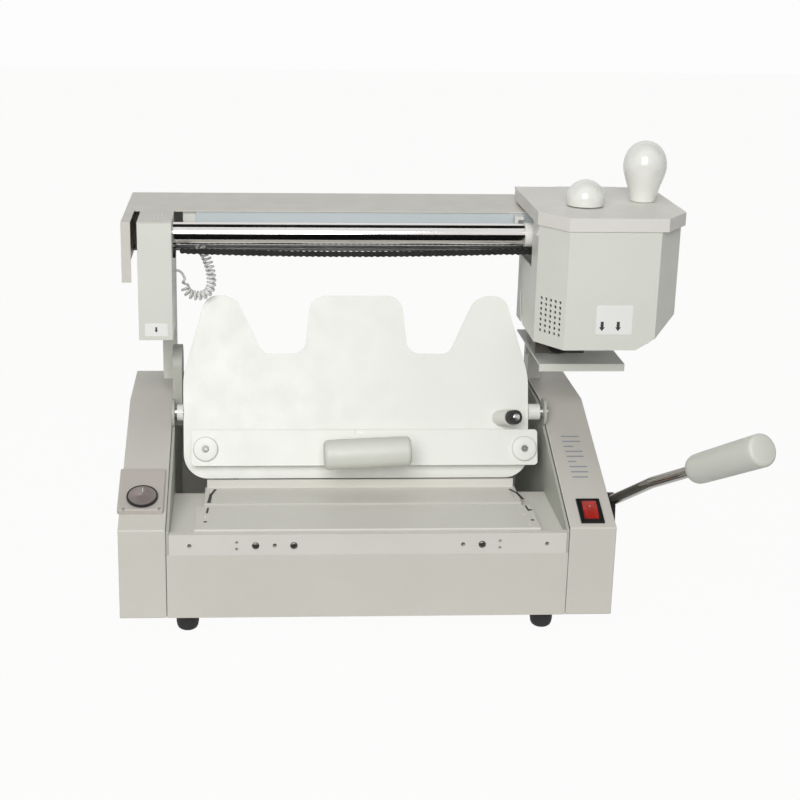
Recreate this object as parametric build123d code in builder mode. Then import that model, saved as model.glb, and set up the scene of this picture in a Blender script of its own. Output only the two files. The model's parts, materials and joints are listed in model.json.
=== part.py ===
from build123d import *
from math import atan, cos, degrees, pi, radians, sin
import os

os.makedirs("parts", exist_ok=True)

# A desk-top hot melt binding machine, drawn in millimetres about the middle of its base:
# X runs to the right, Y runs from the front panel to the back, Z = 0 is the table top.
# At the end every piece is moved so that the origin is the centre of the footprint.

# Base casing
base_width = 510.0
base_depth = 318.0
front_height = 120.0
rear_height = 196.0
slope_depth = 205.0
sheet = 1.5
hem_z = 23.0
cover_width = 48.2
fit_gap = 0.3
foot_height = 24.0
foot_radius = 11.8
foot_inset_x = 68.5
foot_inset_front = 26.0
foot_inset_rear = 26.0
floor_thickness = 2.0
side_thickness = 3.0
side_drop = 3.0
half = base_width / 2
cover_edge = half - cover_width
side_outer = cover_edge - fit_gap
side_inner = side_outer - side_thickness
slope_rise = (rear_height - front_height) / slope_depth
slope_angle = degrees(atan(slope_rise))
floor_bottom_z = foot_height
floor_top_z = floor_bottom_z + floor_thickness
panel_back = base_depth - sheet

# Front bar and platform
bar_bottom_z = 92.5
bar_top_z = 114.8
bar_thickness = 8.4
table_top_z = 110.0
table_thickness = 5.0
pit_front = 133.0
jaw_top_z = 117.0
jaw_front = 82.0
jaw_width = 2 * side_inner - 67.0
upstand_height = 9.0
nip_front = 9.0
nip_rear = 76.0
nip_width = 2 * side_inner - 51.0
nip_top_z = 116.8

# Nip drive: a cross shaft with two eccentrics, turned by the side lever
shaft_y = 110.0
shaft_z = 86.0
shaft_radius = 7.0
shaft_left = -side_outer - 2.5
shaft_right = half + 20.0
yoke_x = 120.0
yoke_thickness = 6.0
yoke_wall = 4.7
eccentric_radius = 17.0
eccentric_offset = 8.7
running_gap = 0.06
bush_radius = 10.0
hub_thickness = 17.5
hub_radius = 20.0
lever_rod_radius = 6.0
lever_bend_radius = 30.0
grip_radius = 16.0
grip_length = 104.0
grip_start = 70.0

# Cradle: a plate that turns about a cross axis between the side plates
pivot_y = 168.0
pivot_z = 191.5
cradle_x = -3.5
cradle_lean = 20.0
plate_thickness = 3.0
pivot_pin_radius = 4.0
hub_pin_radius = 9.0
ear_radius = 15.5
clamp_gap = 2.5
clamp_thickness = 12.0
clamp_top = -20.0
clamp_bottom = -59.0
cradle_half = side_inner - 12.5
clamp_left = 9.5 - cradle_half
clamp_right = cradle_half + 7.0
guide_left = (clamp_left + 15.5, -40.5)
guide_right = (clamp_right - 15.0, -41.0)
guide_radius = 5.0
guide_reach = 45.0
boss_radius = 13.5
tee_x = 7.5
tee_s = -46.0
tee_height = 60.0
tee_radius = 16.0
tee_length = 93.0
tee_tilt = 2.5
tee_rod_radius = 4.0
thumb_x = cradle_half - 31.0
thumb_s = -7.0
thumb_turn = 24.0
spacer_radius = 9.0
spacer_length = 20.0
thumb_radius = 8.0
thumb_length = 12.0

# Upper frame: posts, hood and the chromed rail
rail_y = 175.0
rail_z = 390.0
rail_radius = 12.0
hood_top_z = 408.0
hood_bottom_z = 343.0
hood_left = -half - 1.0
hood_right = half + 78.0
hood_front = 212.0
hood_rear = base_depth + 7.0
column_left = -side_outer - 32.5
column_right = -side_outer + 3.5
column_front = 141.0
column_rear = 208.0
column_bottom_z = 281.0
post_thickness = 15.5
post_front = base_depth - 33.0
post_rear = base_depth - 3.0
beam_bottom_z = 345.0
beam_top_z = 400.0
beam_front = base_depth - 18.0
beam_sheet = 3.0
bracket_thickness = 6.5
bracket_front = 160.0
bracket_bottom_z = 360.0
bracket_top_z = 405.0
chain_z = 371.0
chain_pitch = 6.35
chain_half_height = 2.8
chain_width = 8.0
chain_plate = 1.2
chain_roller_radius = 1.65

# Glue pot that runs along the rail
pot_left = side_inner - 22.5
pot_right = pot_left + 150.0
pot_front = 86.0
pot_rear = base_depth - 43.0
shell_rear = 235.0
pot_corner_y = 123.0
pot_front_left = pot_left + 25.5
pot_front_right = pot_right - 29.0
pot_bottom_z = 285.0
lid_top_z = 425.0
pot_top_z = lid_top_z - 1.8
saddle_front = 158.0
saddle_bottom_z = 358.0
deck_z = lid_top_z - 15.5
lid_overhang = 2.0
lid_overhang_right = 4.5
lid_skirt_z = lid_top_z - 14.0
hinge_y = pot_rear + 4.5
hinge_z = lid_top_z - 5.5
hinge_radius = 3.5
hinge_pin_radius = 1.5
roller_x = pot_left + 29.0
roller_z = 284.7
roller_radius = 20.0
roller_front = 145.0
roller_rear = 188.0
sprocket_teeth = 15
wheel_radius = 10.0

# Cords
curl_radius = 4.15
wire_radius = 1.35
curl_count = 24
tray_cord_radius = 4.5

pieces = {}


def slope_z(y):
    return front_height + slope_rise * y


def keep(name, builder):
    pieces[name] = builder


def slab(x, y, z, mode=Mode.ADD):
    with Locations(((x[0] + x[1]) / 2, (y[0] + y[1]) / 2, (z[0] + z[1]) / 2)):
        Box(x[1] - x[0], y[1] - y[0], z[1] - z[0], mode=mode)


def rod(start, end, radius, mode=Mode.ADD):
    run = Vector(*end) - Vector(*start)
    with Locations(Plane(origin=start, z_dir=run)):
        Cylinder(radius, run.length, align=(Align.CENTER, Align.CENTER, Align.MIN), mode=mode)


def prism(points, plane, depth, radius=0, mode=Mode.ADD):
    with BuildSketch(plane) as outline:
        with BuildLine():
            FilletPolyline(*points, radius=radius, close=True)
        make_face()
    extrude(outline.sketch, amount=depth, mode=mode)


def walls(points, plane, depth, wall):
    with BuildSketch(plane) as ring:
        with BuildLine():
            Polyline(*points, close=True)
        face = make_face()
        offset(face, amount=-wall, kind=Kind.INTERSECTION, mode=Mode.SUBTRACT)
    extrude(ring.sketch, amount=depth)


# Planes: a side plane draws (Y, Z) and grows to +X, a front plane draws (X, Z) and grows to -Y
def side_plane(x):
    return Plane.YZ.offset(x)


def front_plane(y):
    return Plane.XZ.offset(-y)


slope_left = Plane(
    origin=(0, 0, front_height),
    x_dir=(1, 0, 0),
    z_dir=(0, -sin(radians(slope_angle)), cos(radians(slope_angle))),
)
cradle_plane = Plane(
    origin=(cradle_x, pivot_y, pivot_z),
    x_dir=(1, 0, 0),
    z_dir=(0, -cos(radians(cradle_lean)), sin(radians(cradle_lean))),
)


def on_cradle(x, s, n=0.0):
    return tuple(cradle_plane.from_local_coords((x, s, n)))


# Base plate and feet
with BuildPart() as base_plate:
    slab(
        (-half + sheet + fit_gap, half - sheet - fit_gap),
        (sheet + fit_gap, panel_back - fit_gap),
        (floor_bottom_z, floor_top_z),
    )
    slot_pitch = 12.0
    with Locations((0, base_depth * 0.5, floor_bottom_z)):
        with GridLocations(slot_pitch, 120.0, 9, 2):
            Box(4.0, 40.0, 3 * floor_thickness, mode=Mode.SUBTRACT)
keep("base_plate", base_plate)

foot_x = half - foot_inset_x
with BuildPart() as feet:
    for x in (-foot_x, foot_x):
        for y in (foot_inset_front, base_depth - foot_inset_rear):
            with Locations((x, y, 0)):
                Cone(
                    foot_radius - 1.0,
                    foot_radius,
                    foot_height,
                    align=(Align.CENTER, Align.CENTER, Align.MIN),
                )
keep("feet", feet)

# Side covers: folded sheet, open towards the machine and below
roof_drop = sheet / cos(radians(slope_angle))
cover_outline = [
    (0, hem_z),
    (0, front_height),
    (slope_depth, rear_height),
    (base_depth, rear_height),
    (base_depth, hem_z),
]
cover_inside = [
    (sheet, hem_z - 1),
    (sheet, slope_z(sheet) - roof_drop),
    ((rear_height - sheet - front_height + roof_drop) / slope_rise, rear_height - sheet),
    (panel_back, rear_height - sheet),
    (panel_back, hem_z - 1),
]
post_outer = side_outer + post_thickness
rocker_x = half - 23.7
rocker_y = 23.6
bezel_width = 24.4
bezel_length = 36.7
bezel_height = 2.0
rocker_plane = Plane(
    origin=(rocker_x, rocker_y, slope_z(rocker_y)), x_dir=(1, 0, 0), z_dir=slope_left.z_dir
)
housing_width = bezel_width - 3.0
housing_length = bezel_length - 3.5
housing_depth = 16.0

with BuildPart() as left_cover:
    prism(cover_outline, side_plane(-half), cover_width)
    prism(cover_inside, side_plane(-half + sheet), cover_width, mode=Mode.SUBTRACT)
    slab(
        (-post_outer - 0.5, -cover_edge + 1),
        (post_front - 0.5, post_rear + 0.5),
        (rear_height - 6, rear_height + 1),
        Mode.SUBTRACT,
    )
keep("left_cover", left_cover)

shaft_hole = shaft_radius + 1.0
with BuildPart() as right_cover:
    prism(cover_outline, side_plane(cover_edge), cover_width)
    prism(cover_inside, side_plane(cover_edge - sheet), cover_width, mode=Mode.SUBTRACT)
    slab(
        (cover_edge - 1, post_outer + 0.5),
        (post_front - 0.5, post_rear + 0.5),
        (rear_height - 6, rear_height + 1),
        Mode.SUBTRACT,
    )
    rod((half - 4, shaft_y, shaft_z), (half + 1, shaft_y, shaft_z), shaft_hole, Mode.SUBTRACT)
    with Locations(rocker_plane):
        Box(housing_width + 0.4, housing_length + 0.4, 12.0, mode=Mode.SUBTRACT)
keep("right_cover", right_cover)

# Side plates carry the cradle pivots, the cross shaft and the posts
plate_outline = [
    (sheet, floor_top_z),
    (sheet, slope_z(sheet) - side_drop),
    (slope_depth, rear_height - side_drop),
    (panel_back - fit_gap, rear_height - side_drop),
    (panel_back - fit_gap, floor_top_z),
]
tall_ear = [(188, 170), (188, 256), (235, 256), (235, 170)]
ear_reach = 7.5
with BuildPart() as side_plates:
    for x in (-side_outer, side_inner):
        prism(plate_outline, side_plane(x), side_thickness)
        rod((x, pivot_y, pivot_z), (x + side_thickness, pivot_y, pivot_z), ear_radius)
    prism(tall_ear, side_plane(-side_outer), side_thickness + ear_reach, radius=[0, 20, 20, 0])
    rod((-half, pivot_y, pivot_z), (half, pivot_y, pivot_z), pivot_pin_radius, Mode.SUBTRACT)
    rod((-half, shaft_y, shaft_z), (half, shaft_y, shaft_z), bush_radius, Mode.SUBTRACT)
keep("side_plates", side_plates)

# Front panel, front bar and back panel
with BuildPart() as front_panel:
    slab((-side_outer + 0.2, side_outer - 0.2), (0, sheet), (hem_z, bar_bottom_z))
keep("front_panel", front_panel)

bar_mark_z = 102.8
bar_hole_x = (20.7 - side_inner, -96.1, 96.8, side_inner - 19.9)
bar_pair_x = (-134.8, 134.8)
bar_pair_pitch = 7.3
bar_screw_x = (-115.6, -76.7, 116.4)
with BuildPart() as front_bar:
    slab((-side_inner, side_inner), (0, bar_thickness), (bar_bottom_z, bar_top_z))
    for x in bar_hole_x:
        rod((x, -1, bar_mark_z), (x, bar_thickness + 1, bar_mark_z), 2.2, Mode.SUBTRACT)
    for x in bar_pair_x:
        for dz in (-bar_pair_pitch / 2, bar_pair_pitch / 2):
            rod((x, -1, bar_mark_z + dz), (x, 5, bar_mark_z + dz), 1.6, Mode.SUBTRACT)
    for x in bar_screw_x:
        rod((x, 0, bar_mark_z), (x, bar_thickness, bar_mark_z), 2.0, Mode.SUBTRACT)
keep("front_bar", front_bar)

screw_head_radius = 4.0
screw_head = 1.6
with BuildPart() as front_screws:
    for x in bar_screw_x:
        rod((x, -screw_head, bar_mark_z), (x, 0, bar_mark_z), screw_head_radius)
        rod((x, 0, bar_mark_z), (x, bar_thickness, bar_mark_z), 2.0)
        slab((x - 0.5, x + 0.5), (-screw_head, -screw_head + 0.8), (bar_mark_z - 3, bar_mark_z + 3),
             Mode.SUBTRACT)
        slab((x - 3, x + 3), (-screw_head, -screw_head + 0.8), (bar_mark_z - 0.5, bar_mark_z + 0.5),
             Mode.SUBTRACT)
keep("front_screws", front_screws)

inlet_x = -150.0
inlet_z = 62.0
inlet_width = 30.0
inlet_height = 22.0
with BuildPart() as back_panel:
    slab((-side_outer + 0.2, side_outer - 0.2), (panel_back, base_depth),
         (hem_z, rear_height - side_drop))
    slab((inlet_x - inlet_width / 2, inlet_x + inlet_width / 2), (panel_back - 1, base_depth + 1),
         (inlet_z - inlet_height / 2, inlet_z + inlet_height / 2), Mode.SUBTRACT)
    with Locations((60, panel_back, 140)):
        with GridLocations(9.0, 1.0, 12, 1):
            Box(3.5, 8.0, 46.0, mode=Mode.SUBTRACT)
keep("back_panel", back_panel)

inlet_wall = 2.0
inlet_depth = 18.0
with BuildPart() as inlet:
    slab((inlet_x - 25, inlet_x + 25), (base_depth, base_depth + 2.5), (inlet_z - 15, inlet_z + 15))
    slab((inlet_x - inlet_width / 2 + 0.1, inlet_x + inlet_width / 2 - 0.1),
         (base_depth - inlet_depth, base_depth),
         (inlet_z - inlet_height / 2 + 0.1, inlet_z + inlet_height / 2 - 0.1))
    slab((inlet_x - inlet_width / 2 + inlet_wall, inlet_x + inlet_width / 2 - inlet_wall),
         (base_depth - inlet_depth + inlet_wall, base_depth + 3),
         (inlet_z - inlet_height / 2 + inlet_wall, inlet_z + inlet_height / 2 - inlet_wall),
         Mode.SUBTRACT)
    for dx, dz in ((-7, -3), (0, 3), (7, -3)):
        slab((inlet_x + dx - 1, inlet_x + dx + 1), (base_depth - inlet_depth + 1, base_depth - 9),
             (inlet_z + dz - 2, inlet_z + dz + 2))
keep("inlet", inlet)

# Platform: the table, the fixed rear jaw and the sliding nip plate
stem_front = 58.0
stem_width = 10.0
slot_clear = 2.0
nip_travel = 5.0
with BuildPart() as platform_table:
    slab((-side_inner, side_inner), (bar_thickness, pit_front),
         (table_top_z - table_thickness, table_top_z))
    for x in (-yoke_x, yoke_x):
        slab((x - yoke_thickness / 2 - 0.5, x + yoke_thickness / 2 + 0.5),
             (stem_front - slot_clear, stem_front + stem_width + nip_travel + slot_clear),
             (table_top_z - table_thickness - 1, table_top_z + 1), Mode.SUBTRACT)
keep("platform_table", platform_table)

with BuildPart() as rear_jaw:
    slab((-jaw_width / 2, jaw_width / 2), (jaw_front, pit_front), (table_top_z, jaw_top_z))
    slab((-jaw_width / 2 + 2, jaw_width / 2 - 2), (pit_front - 3, pit_front),
         (jaw_top_z, jaw_top_z + upstand_height))
    for x in (-jaw_width / 2 + 5, jaw_width / 2 - 7.5):
        slab((x, x + 2.5), (jaw_front + 3, pit_front - 13), (jaw_top_z - 2, jaw_top_z + 1),
             Mode.SUBTRACT)
keep("rear_jaw", rear_jaw)

nip_bottom_z = table_top_z + fit_gap
with BuildPart() as nip_plate:
    slab((-nip_width / 2, nip_width / 2), (nip_front, nip_rear), (nip_bottom_z, nip_top_z))
    chamfer(nip_plate.edges().filter_by(Axis.X).group_by(Axis.Z)[-1], 0.8)
    for x, y in ((10 - nip_width / 2, 46), (8 - nip_width / 2, 17),
                 (nip_width / 2 - 12, 46), (nip_width / 2 - 10, 17)):
        rod((x, y, nip_top_z - 2), (x, y, nip_top_z + 1), 2.2, Mode.SUBTRACT)
keep("nip_plate", nip_plate)

yoke_gap = 0.3
yoke_front = shaft_y - eccentric_radius - yoke_gap
yoke_rear = shaft_y + eccentric_radius + yoke_gap
yoke_low = shaft_z - eccentric_offset - eccentric_radius - 4.3
yoke_high = table_top_z - table_thickness - 5
with BuildPart() as nip_yokes:
    for x in (-yoke_x, yoke_x):
        span = (x - yoke_thickness / 2, x + yoke_thickness / 2)
        slab(span, (yoke_front - yoke_wall, yoke_rear + yoke_wall), (yoke_low - 4, yoke_high + 4))
        slab(span, (yoke_front, yoke_rear), (yoke_low, yoke_high), Mode.SUBTRACT)
        slab(span, (stem_front, yoke_front - yoke_wall), (yoke_high - 8, yoke_high + 4))
        slab(span, (stem_front, stem_front + stem_width), (yoke_high + 4, nip_bottom_z))
keep("nip_yokes", nip_yokes)

# Cross shaft and its bushes
with BuildPart() as cross_shaft:
    rod((shaft_left, shaft_y, shaft_z), (shaft_right, shaft_y, shaft_z), shaft_radius)
    for x in (-yoke_x, yoke_x):
        rod((x - 4, shaft_y, shaft_z - eccentric_offset),
            (x + 4, shaft_y, shaft_z - eccentric_offset), eccentric_radius)
keep("cross_shaft", cross_shaft)

with BuildPart() as shaft_bushes:
    for side in (-1, 1):
        rod((side * (side_inner - 3), shaft_y, shaft_z), (side * side_inner, shaft_y, shaft_z),
            bush_radius + 3)
        rod((side * side_inner, shaft_y, shaft_z), (side * (side_outer + 3), shaft_y, shaft_z),
            bush_radius)
    rod((-half, shaft_y, shaft_z), (half, shaft_y, shaft_z), shaft_radius + running_gap,
        Mode.SUBTRACT)
keep("shaft_bushes", shaft_bushes)

# Side lever: hub, bent rod and a turned grip
lever_root = (half + 8.0, 115.0, 99.7)
lever_bend = (half + 39.5, 24.7, 160.2)
lever_dir = Vector(0.39, -0.81, 0.49).normalized()
grip_base = Vector(*lever_bend) + lever_dir * grip_start
rod_end = grip_base + lever_dir * 40.0

with BuildPart() as lever_rod:
    with BuildLine() as rod_path:
        FilletPolyline(lever_root, lever_bend, tuple(rod_end), radius=lever_bend_radius)
    with BuildSketch(Plane(origin=rod_path.wires()[0] @ 0, z_dir=rod_path.wires()[0] % 0)):
        Circle(lever_rod_radius)
    sweep(path=rod_path.wires()[0])

with BuildPart() as lever_hub:
    with BuildSketch(side_plane(shaft_right - hub_thickness)):
        with Locations((shaft_y, shaft_z)):
            Circle(hub_radius)
        with Locations((shaft_y - 6, shaft_z + 22)):
            Circle(11.0)
        make_hull()
    extrude(amount=hub_thickness)
    rod((half, shaft_y, shaft_z), (shaft_right + 1, shaft_y, shaft_z), shaft_radius, Mode.SUBTRACT)
    add(lever_rod.part, mode=Mode.SUBTRACT)
keep("lever_hub", lever_hub)
keep("lever_rod", lever_rod)

grip_plane = Plane(origin=grip_base, z_dir=lever_dir)
grip_section = Plane(origin=grip_base, x_dir=grip_plane.x_dir, z_dir=-grip_plane.y_dir)
with BuildPart() as lever_grip:
    with BuildSketch(grip_section):
        with BuildLine():
            FilletPolyline(
                (0, 0), (grip_radius - 1.0, 0), (grip_radius + 0.4, grip_length), (0, grip_length),
                radius=[0, 7, 4, 0], close=True,
            )
        make_face()
    revolve(axis=Axis(grip_base, lever_dir))
    add(lever_rod.part, mode=Mode.SUBTRACT)
keep("lever_grip", lever_grip)

# Cradle pivots
left_hub_x = 2.5 - side_inner
right_hub_x = side_inner - 3.5
left_hub = 6.6
right_hub = 12.6
hub_tab = 24.4
hub_bore = 0.4
pin_collar = 2.2
with BuildPart() as pivot_pins:
    rod((-side_outer, pivot_y, pivot_z), (left_hub_x + left_hub + hub_bore, pivot_y, pivot_z),
        pivot_pin_radius)
    rod((-side_inner, pivot_y, pivot_z), (-side_inner + pin_collar, pivot_y, pivot_z),
        pivot_pin_radius + 2.5)
    rod((right_hub_x - right_hub - hub_bore, pivot_y, pivot_z),
        (side_outer + 2.5, pivot_y, pivot_z), pivot_pin_radius)
    rod((side_outer, pivot_y, pivot_z), (side_outer + 2.5, pivot_y, pivot_z), pivot_pin_radius + 3)
    rod((side_inner - pin_collar, pivot_y, pivot_z), (side_inner, pivot_y, pivot_z),
        pivot_pin_radius + 2.5)
keep("pivot_pins", pivot_pins)

# Half outline of the cradle plate: distance from its middle, height up the plate, corner radius
cradle_corners = [
    ((cradle_half - 1, -72.7), 27),
    ((cradle_half, 41), 80),
    ((cradle_half - 25, 129), 17),
    ((cradle_half - 57, 129), 22),
    ((103, 64.5), 14),
    ((57, 64.5), 16),
    ((50.5, 129), 18),
]
cradle_left = [((-point[0], point[1]), radius) for point, radius in reversed(cradle_corners)]
cradle_outline = cradle_corners + cradle_left
with BuildPart() as cradle_plate:
    prism([point for point, radius in cradle_outline], cradle_plane, plate_thickness,
          radius=[radius for point, radius in cradle_outline])
    for outer, edge, tab in (
        (left_hub_x, left_hub_x + left_hub, left_hub_x + left_hub + hub_tab),
        (right_hub_x, right_hub_x - right_hub, right_hub_x - right_hub - hub_tab),
    ):
        rod((outer, pivot_y, pivot_z), (edge, pivot_y, pivot_z), hub_pin_radius)
        tab_middle = (edge + tab) / 2 - cradle_x
        with Locations(cradle_plane.offset(-1.5)):
            with Locations((tab_middle, 0, 0)):
                Box(abs(edge - tab), 14.0, 3.0)
    rod((-half, pivot_y, pivot_z), (left_hub_x + left_hub + hub_bore + 0.1, pivot_y, pivot_z),
        pivot_pin_radius + running_gap, Mode.SUBTRACT)
    rod((half, pivot_y, pivot_z), (right_hub_x - right_hub - hub_bore - 0.1, pivot_y, pivot_z),
        pivot_pin_radius + running_gap, Mode.SUBTRACT)
    for x, s in (guide_left, guide_right):
        rod(on_cradle(x, s, -1), on_cradle(x, s, 5), guide_radius + 0.4, Mode.SUBTRACT)
    rod(on_cradle(tee_x, tee_s, -1), on_cradle(tee_x, tee_s, 5), tee_rod_radius + 0.5,
        Mode.SUBTRACT)
keep("cradle_plate", cradle_plate)

with BuildPart() as guide_bushes:
    for x, s in (guide_left, guide_right):
        rod(on_cradle(x, s, -8), on_cradle(x, s, 0), guide_radius + 4)
        rod(on_cradle(x, s, -9), on_cradle(x, s, 1), guide_radius + running_gap, Mode.SUBTRACT)
    rod(on_cradle(tee_x, tee_s, -10), on_cradle(tee_x, tee_s, 0), 9.0)
    rod(on_cradle(tee_x, tee_s, -11), on_cradle(tee_x, tee_s, 1), tee_rod_radius + running_gap,
        Mode.SUBTRACT)
keep("guide_bushes", guide_bushes)

# Clamp bar on its two guide rods
clamp_back = plate_thickness + clamp_gap
clamp_front = clamp_back + clamp_thickness
with BuildPart() as clamp_bar:
    prism([(clamp_left, clamp_bottom), (clamp_left, clamp_top), (clamp_right, clamp_top),
           (clamp_right, clamp_bottom)], cradle_plane.offset(clamp_back), clamp_thickness, radius=4)
    rod(on_cradle(tee_x, tee_s, 0), on_cradle(tee_x, tee_s, clamp_front + 1), tee_rod_radius + 0.3,
        Mode.SUBTRACT)
    for x, s in (guide_left, guide_right):
        rod(on_cradle(x, s, clamp_back - 1), on_cradle(x, s, clamp_front + 1), 3.0, Mode.SUBTRACT)
    with Locations(cradle_plane.offset(clamp_front)):
        with Locations((tee_x - 6, clamp_top - 2, 0)):
            Box(9.0, 5.0, 7.0, mode=Mode.SUBTRACT)
keep("clamp_bar", clamp_bar)

with BuildPart() as guide_rods:
    for x, s in (guide_left, guide_right):
        rod(on_cradle(x, s, -guide_reach), on_cradle(x, s, clamp_back), guide_radius)
        rod(on_cradle(x, s, clamp_back), on_cradle(x, s, clamp_front), 3.0)
keep("guide_rods", guide_rods)

boss_height = 5.0
with BuildPart() as boss_caps:
    for x, s in (guide_left, guide_right):
        rod(on_cradle(x, s, clamp_front), on_cradle(x, s, clamp_front + boss_height), boss_radius)
        rod(on_cradle(x, s, clamp_front + boss_height),
            on_cradle(x, s, clamp_front + boss_height + 2.5), 3.3)
keep("boss_caps", boss_caps)

# T-handle on its threaded rod
with BuildPart() as tee_screw:
    rod(on_cradle(tee_x, tee_s, -22), on_cradle(tee_x, tee_s, tee_height - 6), tee_rod_radius)
    rod(on_cradle(tee_x, tee_s, clamp_front + 0.3), on_cradle(tee_x, tee_s, clamp_front + 4), 7.5)
    rod(on_cradle(tee_x, tee_s, clamp_back - 2), on_cradle(tee_x, tee_s, clamp_back - 0.3), 6.5)
keep("tee_screw", tee_screw)

tee_half = Vector(*on_cradle(tee_length / 2 * cos(radians(tee_tilt)),
                             tee_length / 2 * sin(radians(tee_tilt)))) - Vector(*on_cradle(0, 0))
tee_centre = Vector(*on_cradle(tee_x, tee_s, tee_height))
with BuildPart() as tee_handle:
    rod(tee_centre - tee_half, tee_centre + tee_half, tee_radius)
    fillet(tee_handle.edges().filter_by(GeomType.CIRCLE), 5.0)
    add(tee_screw.part, mode=Mode.SUBTRACT)
keep("tee_handle", tee_handle)

# Knurled thumb knob on a white spacer, its axis turned a little to the right
thumb_axis = (
    Vector(*on_cradle(sin(radians(thumb_turn)), 0, cos(radians(thumb_turn)))) - Vector(*on_cradle(0, 0))
)
thumb_foot = Vector(*on_cradle(thumb_x, thumb_s, plate_thickness))
thumb_seat = thumb_foot + thumb_axis * spacer_length
with BuildPart() as thumb_spacer:
    rod(thumb_foot - thumb_axis * 8, thumb_seat, spacer_radius)
    split(bisect_by=cradle_plane.offset(plate_thickness), keep=Keep.TOP)
    rod(thumb_seat, thumb_seat + thumb_axis * 8, 3.0)
keep("thumb_spacer", thumb_spacer)

thumb_base = thumb_seat + thumb_axis * fit_gap
knurl_count = 18
with BuildPart() as thumb_knob:
    with BuildSketch(Plane(origin=thumb_base, z_dir=thumb_axis)):
        Circle(thumb_radius)
        with PolarLocations(thumb_radius, knurl_count):
            Circle(0.7, mode=Mode.SUBTRACT)
    extrude(amount=thumb_length)
    rod(thumb_seat, thumb_seat + thumb_axis * 8.6, 3.0 + running_gap, Mode.SUBTRACT)
keep("thumb_knob", thumb_knob)

# Posts that carry the upper frame
with BuildPart() as left_post:
    slab((-post_outer, -side_outer), (post_front, post_rear), (floor_top_z, beam_bottom_z))
keep("left_post", left_post)

with BuildPart() as right_post:
    slab((side_outer, post_outer), (post_front, post_rear), (floor_top_z, beam_bottom_z))
keep("right_post", right_post)

# Column cover round the left end of the rail
rail_left = column_left + 4.0
cord_y = 197.0
cord_exit_z = 345.0
anchor_half_y = 6.0
anchor_low_z = 364.5
anchor_high_z = 374.5
with BuildPart() as left_column:
    slab((column_left, column_right), (column_front, column_rear),
         (column_bottom_z, hood_top_z - sheet))
    slab((column_left + sheet, column_right - sheet), (column_front + sheet, column_rear - sheet),
         (column_bottom_z - 1, hood_top_z), Mode.SUBTRACT)
    rod((column_right - 5, rail_y, rail_z), (column_right + 5, rail_y, rail_z), rail_radius + 0.4,
        Mode.SUBTRACT)
    slab((column_right - 5, column_right + 5), (rail_y - anchor_half_y - fit_gap,
         rail_y + anchor_half_y + fit_gap), (anchor_low_z - fit_gap, rail_z), Mode.SUBTRACT)
    slab((rail_left - fit_gap, rail_left + bracket_thickness + fit_gap),
         (column_rear - 5, column_rear + 1), (beam_bottom_z - fit_gap, hood_top_z), Mode.SUBTRACT)
keep("left_column", left_column)

# Hood: top, end walls, back wall and the lip at the left
hood_underside = hood_top_z - sheet
hood_lip_y = 144.0
hood_lip_x = 9.0 - half
hood_outline = [
    (hood_left, hood_lip_y),
    (hood_lip_x, hood_lip_y),
    (hood_lip_x, hood_front),
    (column_left, hood_front),
    (column_left, column_front),
    (column_right, column_front),
    (column_right, hood_front),
    (hood_right, hood_front),
    (hood_right, hood_rear),
    (hood_left, hood_rear),
]
with BuildPart() as hood:
    prism(hood_outline, Plane.XY.offset(hood_underside), sheet)
    slab((hood_left, hood_left + sheet), (hood_lip_y, hood_rear), (hood_bottom_z, hood_underside))
    slab((hood_left, hood_lip_x), (hood_lip_y, hood_lip_y + sheet), (hood_bottom_z, hood_underside))
    slab((hood_left, hood_right), (hood_rear - sheet, hood_rear), (hood_bottom_z, hood_underside))
    slab((hood_right - sheet, hood_right), (hood_front, hood_rear), (hood_bottom_z, hood_underside))
keep("hood", hood)

beam_right = hood_right - sheet - bracket_thickness
with BuildPart() as rear_beam:
    beam_x = (hood_left + sheet, beam_right)
    slab(beam_x, (beam_front, hood_rear - sheet), (beam_bottom_z, beam_top_z))
    slab(beam_x, (beam_front - 1, hood_rear - sheet - beam_sheet),
         (beam_bottom_z + beam_sheet, beam_top_z - beam_sheet), Mode.SUBTRACT)
keep("rear_beam", rear_beam)

with BuildPart() as rail_brackets:
    slab((beam_right, hood_right - sheet), (bracket_front, hood_rear - sheet),
         (bracket_bottom_z, bracket_top_z))
    slab((rail_left, rail_left + bracket_thickness), (bracket_front, beam_front),
         (beam_bottom_z, bracket_top_z))
    rod((hood_left, rail_y, rail_z), (hood_right, rail_y, rail_z), rail_radius, Mode.SUBTRACT)
keep("rail_brackets", rail_brackets)

with BuildPart() as rail_bar:
    rod((rail_left, rail_y, rail_z), (hood_right - sheet, rail_y, rail_z), rail_radius)
keep("rail_bar", rail_bar)

# Cord tray under the front edge of the hood
clip_left = column_right + 9.0
tray_left = clip_left + 14.0
tray_front = hood_front + 2.0
tray_floor_z = 394.0
tray_rear = 236.0
with BuildPart() as cable_tray:
    slab((tray_left, beam_right), (tray_front, tray_front + sheet), (tray_floor_z, hood_underside))
    slab((tray_left, beam_right), (tray_front, tray_rear), (tray_floor_z, tray_floor_z + sheet))
keep("cable_tray", cable_tray)

tray_cord_y = 225.5
tray_cord_z = 401.0
arm_left = pot_left + 131.0
with BuildPart() as tray_cord:
    rod((tray_left, tray_cord_y, tray_cord_z), (arm_left, tray_cord_y, tray_cord_z),
        tray_cord_radius)
keep("tray_cord", tray_cord)

hook_x = (pot_left - 13.0, pot_left - 3.0)
with BuildPart() as cord_clips:
    slab((clip_left, tray_left), (217.5, 233.5), (tray_floor_z, hood_underside))
    slab(hook_x, (199, tray_front), (401, 405))
    slab((hook_x[0], hook_x[0] + 4), (199, 204), (tray_floor_z + 2, 401))
keep("cord_clips", cord_clips)

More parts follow.
